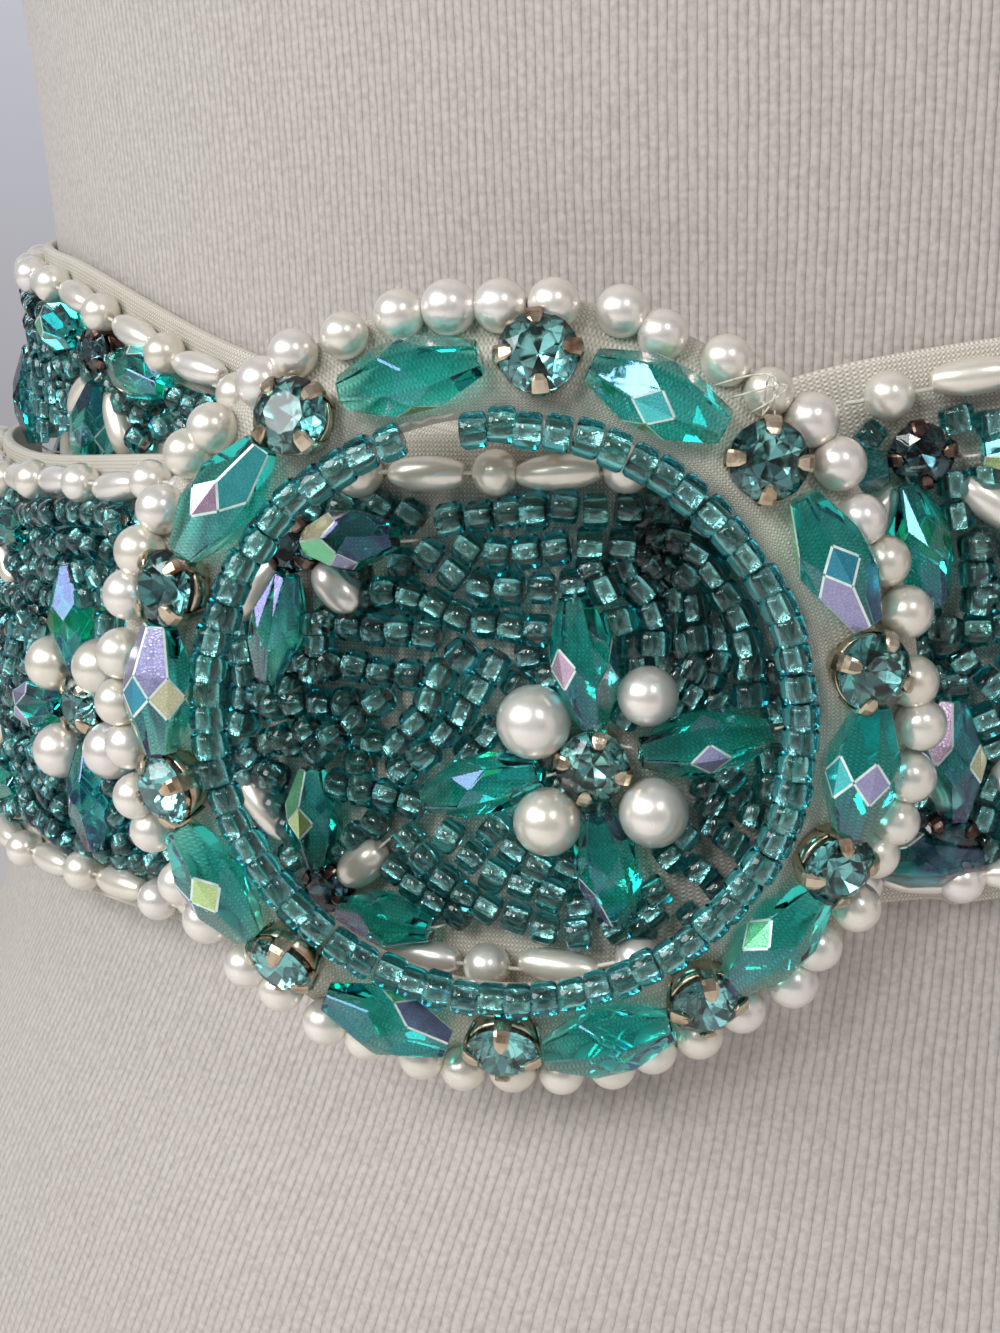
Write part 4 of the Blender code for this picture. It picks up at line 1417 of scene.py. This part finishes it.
def build_edge_beads(pearl, thread):
    """Round and long pearls in turn along both edges of the belt."""
    round_heap = Heap()
    rice_heap = Heap()
    thread_heap = Heap()
    ball = pearl_shape(22, 12)
    grain = rice_shape(18, 10)
    cord = rod_shape()
    first = math.ceil((TAIL_END + 1 * MM - EDGE_START) / EDGE_PERIOD)
    count = int((WAIST_LENGTH - TAIL_END) / EDGE_PERIOD) + 1
    for k in range(first, first + count):
        for side in (1.0, -1.0):
            start = EDGE_START + k * EDGE_PERIOD
            for along, half in ((ROUND_PEARL / 2, ROUND_PEARL / 2),
                                (ROUND_PEARL + RICE_LENGTH / 2, RICE_WIDTH / 2)):
                s = np.array(start + along + stray(0.15))
                t = np.array(side * (EDGE_LINE + stray(0.2)))
                if s < TAIL_END + 2.5 * MM or hidden(s, t):
                    continue
                turn = RANDOM.normal(0.0, 0.05)
                if half == ROUND_PEARL / 2:
                    size = half * RANDOM.normal(EDGE_PEARL_SIZE, 0.04)
                    add_on_band(round_heap, ball, s, t, turn, half * EDGE_PEARL_SUNK, size)
                else:
                    size = (RICE_LENGTH / 2 * RICE_SHARE, half, half)
                    add_on_band(rice_heap, grain, s, t, turn, half, size)
                size = (EDGE_PERIOD / 3.2, EDGE_THREAD_RADIUS, EDGE_THREAD_RADIUS)
                add_on_band(thread_heap, cord, s, t, turn, half, size)
    rounds = finished(round_heap.make("edge_round_pearls", [pearl]))
    rices = finished(rice_heap.make("edge_long_pearls", [pearl]))
    threads = finished(thread_heap.make("edge_thread", [thread]))
    return [rounds, rices, threads]


def finished(obj):
    """The piece rides on the one body."""
    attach(obj, "root")
    return obj


def build_flowers(parts, materials):
    """Stones in cups, pearls and cut ovals of all the flowers on the belt."""
    ovals, pearls, rices, stones, dark_stones, cups, dark_cups = (Heap() for _ in range(7))
    oval = oval_shape()
    ball = pearl_shape(32, 18)
    grain = rice_shape(20, 12)
    stone = stone_shape()
    cup = cup_shape()
    for kind, s, t, angle, half_length, half_width in parts:
        s = s + stray(0.2)
        t = t + stray(0.2)
        angle = angle + RANDOM.normal(0.0, 0.05)
        if kind == "oval":
            spin = RANDOM.random() * 2 * math.pi
            size = (half_length / OVAL_REACH, half_width, half_width)
            add_on_band(ovals, oval, s, t, angle, half_width * OVAL_SUNK, size, spin)
        elif kind == "pearl":
            lift = half_width * PEARL_SUNK + PEARL_LIFT
            add_on_band(pearls, ball, s, t, RANDOM.random() * ANY_TURN, lift, half_width)
        elif kind == "rice":
            size = (half_length, half_width, half_width)
            add_on_band(rices, grain, s, t, angle, half_width, size)
        else:
            dark = kind == "dark stone"
            turn = RANDOM.random() * ANY_TURN
            size = half_length * STONE_SHARE
            add_on_band(dark_stones if dark else stones, stone, s, t, turn, size, size)
            add_on_band(dark_cups if dark else cups, cup, s, t, turn, size, size)
    stone_finish = [materials["stone"], materials["foil"]]
    dark_finish = [materials["stone"], materials["dark_foil"]]
    return [
        finished(with_flashes(ovals, "flower_ovals", materials)),
        finished(pearls.make("flower_pearls", [materials["pearl"]])),
        finished(rices.make("flower_long_pearls", [materials["pearl"]])),
        finished(stones.make("flower_stones", stone_finish)),
        finished(dark_stones.make("half_flower_stones", dark_finish)),
        finished(cups.make("flower_cups", [materials["brass"]])),
        finished(dark_cups.make("half_flower_cups", [materials["dark_brass"]])),
    ]


def with_flashes(heap, name, materials):
    """The cut beads as one object, with some of their facets painted bright with the film's reflected
    colour.
    """
    faces = oval_shape().faces
    own = OVAL_FACETS + 2
    chance = np.zeros(len(faces))
    chance[:OVAL_RHOMBS] = RHOMB_FLASH
    chance[OVAL_RHOMBS:OVAL_FACETS] = LONG_FLASH
    owner = {v: number for number in range(own) for v in faces[number]}
    beside = [sorted({owner[v] for v in face}) for face in faces[own:]]
    beads = len(heap.faces) // len(faces)
    flash = RANDOM.random((beads, len(faces))) < chance
    heap.material = []
    for row in flash:
        heap.material.extend(int(bright) for bright in row[:own])
        # Chamfers beside a flashing facet get the painted edge glint
        heap.material.extend(2 * int(len(near) == 2 and row[near].any()) for near in beside)
    return heap.make(name, [materials["crystal"], materials["flash"], materials["edge"]])


def spun(axes, spin):
    """The axes turned round their own first direction."""
    axes = np.asarray(axes).reshape(-1, 3, 3)
    spin = np.atleast_1d(spin)[:, None]
    second = axes[:, 1] * np.cos(spin) + axes[:, 2] * np.sin(spin)
    third = axes[:, 2] * np.cos(spin) - axes[:, 1] * np.sin(spin)
    return np.stack((axes[:, 0], second, third), axis=1)


def curve_through(points, step):
    """Points and directions at even steps along a smooth line through the points."""
    points = np.array(points)
    ends = np.concatenate(([2 * points[0] - points[1]], points, [2 * points[-1] - points[-2]]))
    fine = []
    u = np.linspace(0.0, 1.0, 12, endpoint=False)[:, None]
    for i in range(1, len(ends) - 2):
        a, b, c, d = ends[i - 1:i + 3]
        fine.append(0.5 * (2 * b + (c - a) * u + (2 * a - 5 * b + 4 * c - d) * u ** 2
                           + (3 * b - a - 3 * c + d) * u ** 3))
    line = np.concatenate(fine + [points[-1:]])
    length = np.concatenate(([0.0], np.cumsum(np.linalg.norm(np.diff(line, axis=0), axis=1))))
    count = max(1, int(length[-1] / step))
    at = (np.arange(count) + 0.5) * length[-1] / count
    place = np.stack([np.interp(at, length, line[:, i]) for i in (0, 1)], axis=1)
    ahead = np.stack([np.interp(at + 0.2 * MM, length, line[:, i]) for i in (0, 1)], axis=1)
    behind = np.stack([np.interp(at - 0.2 * MM, length, line[:, i]) for i in (0, 1)], axis=1)
    way = np.arctan2(ahead[:, 1] - behind[:, 1], ahead[:, 0] - behind[:, 0])
    return place, way


def clear_of_flowers(s, t, parts):
    """True where a seed bead doesn't lie inside a flower's bead."""
    clear = np.ones(len(s), dtype=bool)
    for kind, part_s, part_t, angle, half_length, half_width in parts:
        margin = CLEAR_MARGIN[kind] * MM
        ds = s - part_s
        dt = t - part_t
        along = ds * math.cos(angle) + dt * math.sin(angle)
        across = dt * math.cos(angle) - ds * math.sin(angle)
        reach = (along / (half_length + margin)) ** 2 + (across / (half_width + margin)) ** 2
        clear &= reach > 1.0
    return clear


def with_gaps_filled(table, parts):
    """The seeds and further low ones in the gaps between the strands, lined up with them."""
    top = EDGE_LINE - 2.4 * MM
    rows = np.arange(LOWEST_SEED, top, FILL_STEP)
    whole = table
    for s in np.arange(table[:, 0].min(), table[:, 0].max(), FILL_STEP):
        opened = smooth_curve(OPENED, 1, s / MM)
        near = whole[np.abs(whole[:, 0] - s) < 7 * MM]
        if not len(near):
            continue
        added = []
        beside = [part for part in parts if abs(part[1] - s) < 9 * MM]
        free = clear_of_flowers(np.full(len(rows), s), rows, beside)
        for t in rows[free]:
            ds = near[:, 0] - s
            dt = near[:, 1] - t
            angle = near[np.argmin(ds ** 2 + dt ** 2), 2]
            along = (ds * math.cos(angle) + dt * math.sin(angle)) * opened
            across = (dt * math.cos(angle) - ds * math.sin(angle)) * opened
            if ((along / FILL_ALONG) ** 2 + (across / FILL_ACROSS) ** 2).min() > 1.0:
                seed = np.array([(s, t, angle, -FILL_DEPTH)])
                near = np.concatenate((near, seed))
                added.append(seed)
        whole = np.concatenate([whole] + added)
    return whole


def seed_places(parts):
    """Place, angle and lift of every seed bead on the belt."""
    strands = []
    for strand in STRANDS:
        points = [(s * MM, t * MM) for s, t in strand[1:]]
        place, way = curve_through(points, SEED_LENGTH)
        lift = np.full(len(place), strand[0] * MM)
        strands.append(np.column_stack((place, way, lift)))
    found = []
    first = math.floor((TAIL_END - FIRST_FLOWER) / REPEAT)
    last = math.ceil((WAIST_LENGTH - FIRST_FLOWER) / REPEAT)
    for k in range(first, last + 1):
        middle = np.array((FIRST_FLOWER + k * REPEAT, 0.0, 0.0, 0.0))
        for strand in strands:
            found.append(strand + middle + np.append(stray(0.2, 2), (0.0, 0.0)))
    table = np.concatenate(found)
    inside = (table[:, 0] > TAIL_END + 3 * MM) & (table[:, 0] < WAIST_LENGTH - PLAIN_BEFORE_BAR)
    inside &= table[:, 1] > LOWEST_SEED
    table = table[inside & clear_of_flowers(table[:, 0], table[:, 1], parts)]
    table = with_gaps_filled(table, parts)
    return table[~hidden(table[:, 0], table[:, 1])]


def build_seeds(parts, glass, silver):
    """Strands of silver-lined seed beads over the belt, finest where the camera is near."""
    table = seed_places(parts)
    count = len(table)
    s = table[:, 0] + stray(0.05, count)
    t = table[:, 1] + stray(0.12, count)
    angle = table[:, 2] + RANDOM.normal(0.0, 0.08, count)
    lift = SEED_DIAMETER / 2 + table[:, 3] + np.abs(stray(0.25, count))
    spin = RANDOM.normal(0.0, 0.35, count) + (RANDOM.random(count) < 0.25) * math.pi / 4
    length = SEED_LENGTH / 2 * RANDOM.uniform(0.92, 1.02, count)
    width = SEED_DIAMETER / 2 * RANDOM.normal(1.0, 0.04, count)
    sizes = np.stack((length, width, width), axis=1)
    near = ((s > NEAR_FIRST) & (s < NEAR_LAST)) | (s > WAIST_LENGTH - NEAR_LEFT)
    made = []
    for name, chosen, shape in (("seed_beads_front", near, seed_shape(12, True)),
                                ("seed_beads_round", ~near, seed_shape(8, False))):
        heap = Heap()
        add_on_band(heap, shape, s[chosen], t[chosen], angle[chosen], lift[chosen],
                    sizes[chosen], spin[chosen])
        made.append(finished(heap.make(name, [glass, silver])))
    return made


def build_ring_seeds(glass, silver):
    """The line of seed beads round the ring's inner edge."""
    heap = Heap()
    low, high = SEED_LINE_GAP
    angle = np.linspace(0.0, 360.0, RING_SEEDS, endpoint=False)
    angle = angle[(angle < low) | (angle > high)]
    count = len(angle)
    radius = smooth_curve(SEED_LINE, 1, angle) * MM + stray(0.15, count)
    height = RING_BASE + RING_SEED_LIFT + stray(0.15, count)
    angle = np.radians(angle) + RANDOM.normal(0.0, 0.004, count)
    axes = spun(ring_axes(angle), RANDOM.normal(0.0, 0.3, count))
    length = radius * math.pi / RING_SEEDS * RANDOM.uniform(0.94, 1.0, count)
    width = SEED_DIAMETER / 2 * RANDOM.normal(1.0, 0.04, count)
    sizes = np.stack((length, width, width), axis=1)
    heap.add(seed_shape(12, True), ring_points(angle, radius, height), axes, sizes)
    return finished(heap.make("ring_seed_lines", [glass, silver]))


def build_ring_pearls(pearl):
    """The round pearls at the ring's outer edge."""
    angle = turns(RING_PEARLS) + RANDOM.normal(0.0, 0.012, RING_PEARLS)
    radius = PEARL_RADIUS + stray(0.35, RING_PEARLS)
    height = RING_BASE + RING_PEARL_LIFT + stray(0.3, RING_PEARLS)
    size = RING_PEARL_SIZE * RANDOM.normal(1.0, 0.03, RING_PEARLS)
    heap = Heap()
    place = ring_points(angle, radius, height)
    heap.add(pearl_shape(24, 14), place, ring_axes(angle), size[:, None])
    return finished(heap.make("ring_pearls", [pearl]))


def build_ring_beads(materials):
    """Ten stones in cups and ten cut ovals halfway between them."""
    ovals, stones, cups = (Heap() for _ in range(3))
    stone_angle = np.radians(STONE_ANGLES)
    following = np.append(stone_angle[1:], stone_angle[0] + 2 * math.pi)
    oval_angle = (stone_angle + following) / 2
    count = len(stone_angle)
    spin = RANDOM.random(count)[:, None] * ANY_TURN
    axes = ring_axes(stone_angle, np.array(STONE_LEAN))
    first = axes[:, 0] * np.cos(spin) + axes[:, 1] * np.sin(spin)
    axes = np.stack((first, np.cross(axes[:, 2], first), axes[:, 2]), axis=1)
    radius = np.full(count, STONE_RADIUS)
    place = ring_points(stone_angle, radius, np.full(count, RING_BASE + RING_STONE_LIFT))
    stones.add(stone_shape(), place, axes, RING_STONE_SIZE)
    cups.add(cup_shape(), place, axes, RING_STONE_SIZE)
    radius = OVAL_RADIUS + stray(0.3, count)
    place = ring_points(oval_angle, radius, np.full(count, RING_BASE + RING_OVAL_LIFT))
    axes = spun(ring_axes(oval_angle), RANDOM.random(count) * ANY_TURN)
    half_length, half_width = RING_OVAL_HALF
    ovals.add(oval_shape(), place, axes, (half_length / OVAL_REACH, half_width, half_width))
    return [
        finished(with_flashes(ovals, "ring_ovals", materials)),
        finished(stones.make("ring_stones", [materials["stone"], materials["foil"]])),
        finished(cups.make("ring_cups", [materials["brass"]])),
    ]


def rod_shape():
    """A six sided rod along x, from -1 to 1."""
    points, faces = turned_profile([(-1.0, 1.0), (1.0, 1.0)], 6)
    return Shape(points, faces, 0, True)


def rods(heap, points, radius):
    """A thin cord as straight rods from each point to the next."""
    points = np.array(points)
    shape = rod_shape().turned_outward()
    for start, end in zip(points[:-1], points[1:]):
        along = end - start
        length = np.linalg.norm(along)
        along = along / length
        across = np.cross(along, (0.3, 0.5, 0.81))
        across /= np.linalg.norm(across)
        axes = np.stack((along, across, np.cross(along, across)))
        heap.add(shape, (start + end) / 2, axes, (length * 0.52, radius, radius))


def build_threads(parts, material):
    """Bead threads that run from the flowers' long beads into the cloth."""
    heap = Heap()
    for kind, s, t, angle, half_length, half_width in parts:
        if kind not in ("oval", "rice"):
            continue
        for end in (1.0, -1.0):
            line = []
            for reach, lift in THREAD_PATH:
                along = end * (half_length + reach * MM)
                at_s = np.array(s + along * math.cos(angle))
                at_t = np.array(t + along * math.sin(angle))
                line.append(on_band(at_s, at_t, half_width * lift))
            rods(heap, line, THREAD_RADIUS)
    return finished(heap.make("flower_threads", [material]))


def build_ring_threads(material):
    """The thread that shows where seed beads are missing, and loose clear loops of nylon."""
    heap = Heap()
    low, high = SEED_LINE_GAP
    count = len(GAP_THREAD_WAVE)
    angle = np.radians(np.linspace(low - GAP_THREAD_PAST, high + GAP_THREAD_PAST, count))
    radius = np.full(count, GAP_THREAD_RADIUS) + np.array(GAP_THREAD_WAVE) * MM
    height = np.full(count, RING_BASE + GAP_THREAD_LIFT)
    rods(heap, ring_points(angle, radius, height), RING_THREAD_RADIUS)
    for first, middle, last, top in NYLON_LOOPS:
        u = np.linspace(0.0, 1.0, 9)
        bow = (middle - (first + last) / 2) * 4 * u * (1 - u)
        angle = np.radians(first + (last - first) * u + bow)
        radius = (NYLON_FROM + NYLON_REACH * np.sin(math.pi * u)) * MM
        height = RING_BASE + (NYLON_LIFT + top * np.sin(math.pi * u)) * MM
        rods(heap, ring_points(angle, radius, height), NYLON_RADIUS)
    return finished(heap.make("ring_threads", [material]))


def build_floor(material):
    """A wide pale floor, which isn't part of the object."""
    mesh = bpy.data.meshes.new("floor")
    side = FLOOR_HALF
    corners = [(-side, -side, 0.0), (side, -side, 0.0), (side, side, 0.0), (-side, side, 0.0)]
    mesh.from_pydata(corners, [], [(0, 1, 2, 3)])
    mesh.materials.append(material)
    new_object("floor", mesh)


def add_light(name, place, size, energy, colour):
    """One soft rectangular light aimed at the buckle."""
    data = bpy.data.lights.new(name, "AREA")
    data.shape = "RECTANGLE"
    data.size, data.size_y = size
    data.energy = energy
    data.color = colour
    obj = new_object(name, data)
    obj.location = place
    aim = Vector(LIGHT_TARGET) - Vector(place)
    obj.rotation_euler = aim.to_track_quat("-Z", "Y").to_euler()


def surround_ramp(tree, stops):
    """A colour ramp of the surround, from its two (place, colour) stops."""
    node = tree.nodes.new("ShaderNodeValToRGB")
    for element, (place, colour) in zip(node.color_ramp.elements, stops):
        element.position = place
        element.color = (*colour, 1.0)
    return node


def build_surround():
    """A pale surround, darker below and brighter behind the form."""
    world = bpy.data.worlds.new("surround")
    bpy.context.scene.world = world
    world.use_nodes = True
    tree = world.node_tree
    background = tree.nodes["Background"]
    background.inputs["Strength"].default_value = SURROUND_STRENGTH
    gradient = surround_ramp(tree, SURROUND_HEIGHT)
    split = tree.nodes.new("ShaderNodeSeparateXYZ")
    lift = tree.nodes.new("ShaderNodeMath")
    lift.operation = "MULTIPLY_ADD"
    lift.inputs[1].default_value = 0.5
    lift.inputs[2].default_value = 0.5
    direction = tree.nodes.new("ShaderNodeTexCoord")
    behind = surround_ramp(tree, SURROUND_BEHIND)
    whole = tree.nodes.new("ShaderNodeVectorMath")
    whole.operation = "MULTIPLY"
    tree.links.new(direction.outputs["Generated"], split.inputs[0])
    tree.links.new(split.outputs["Z"], lift.inputs[0])
    tree.links.new(split.outputs["Y"], behind.inputs["Fac"])
    tree.links.new(lift.outputs[0], gradient.inputs["Fac"])
    tree.links.new(gradient.outputs["Color"], whole.inputs[0])
    tree.links.new(behind.outputs["Color"], whole.inputs[1])
    tree.links.new(whole.outputs[0], background.inputs["Color"])


def build_camera():
    """The camera where the photograph was taken, close above the buckle."""
    data = bpy.data.cameras.new("camera")
    data.lens = CAMERA_LENS
    data.sensor_width = 36.0
    data.clip_start = 0.01
    data.clip_end = 30.0
    obj = new_object("camera", data)
    obj.location = CAMERA_PLACE
    obj.rotation_euler = (math.pi / 2 - CAMERA_DOWN, 0.0, 0.0)
    bpy.context.scene.camera = obj


def make_materials():
    """Every material by a short name."""
    return {
        "jersey": jersey_material(),
        "cloth": weave_material(),
        "pearl": pearl_material(),
        "crystal": crystal_material(),
        "flash": painted_flash_material(),
        "stone": stone_glass_material(),
        "foil": foil_material("aqua_foil", (0.38, 0.60, 0.60)),
        "dark_foil": foil_material("dark_foil", (0.10, 0.17, 0.20)),
        "seed": seed_glass_material(),
        "silver": silver_material(),
        "brass": brass_material("brass", (0.26, 0.15, 0.09), (0.56, 0.45, 0.32),
                                (0.76, 0.68, 0.54)),
        # The edge finish is a painted glint on the chamfers beside flashing facets
        "edge": painted_edge_glint_material(),
        "dark_brass": brass_material("dark_brass", (0.03, 0.02, 0.02), (0.10, 0.06, 0.05),
                                     (0.30, 0.22, 0.18)),
        "thread": thread_material(),
        "board": board_material(),
    }


def main():
    """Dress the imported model."""
    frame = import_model()
    materials = make_materials()
    frame["nodes"]["buckle_bar"].data.materials.clear()
    frame["nodes"]["buckle_bar"].data.materials.append(materials["brass"])
    build_jersey(materials["jersey"])
    build_board(materials["board"])
    band = build_band(materials["cloth"])
    build_ring_cloth(materials["cloth"])
    parts = flower_places()
    on_cloth = build_edge_beads(materials["pearl"], materials["thread"])
    on_cloth += build_flowers(parts, materials)
    on_cloth += build_seeds(parts, materials["seed"], materials["silver"])
    on_cloth.append(build_threads(parts, materials["thread"]))
    build_ring_threads(materials["thread"])
    build_ring_seeds(materials["seed"], materials["silver"])
    build_ring_pearls(materials["pearl"])
    build_ring_beads(materials)
    build_floor(floor_material())
    for light in LIGHTS:
        add_light(*light)
    build_surround()
    bpy.context.scene.view_settings.view_transform = "Standard"
    build_camera()


main()
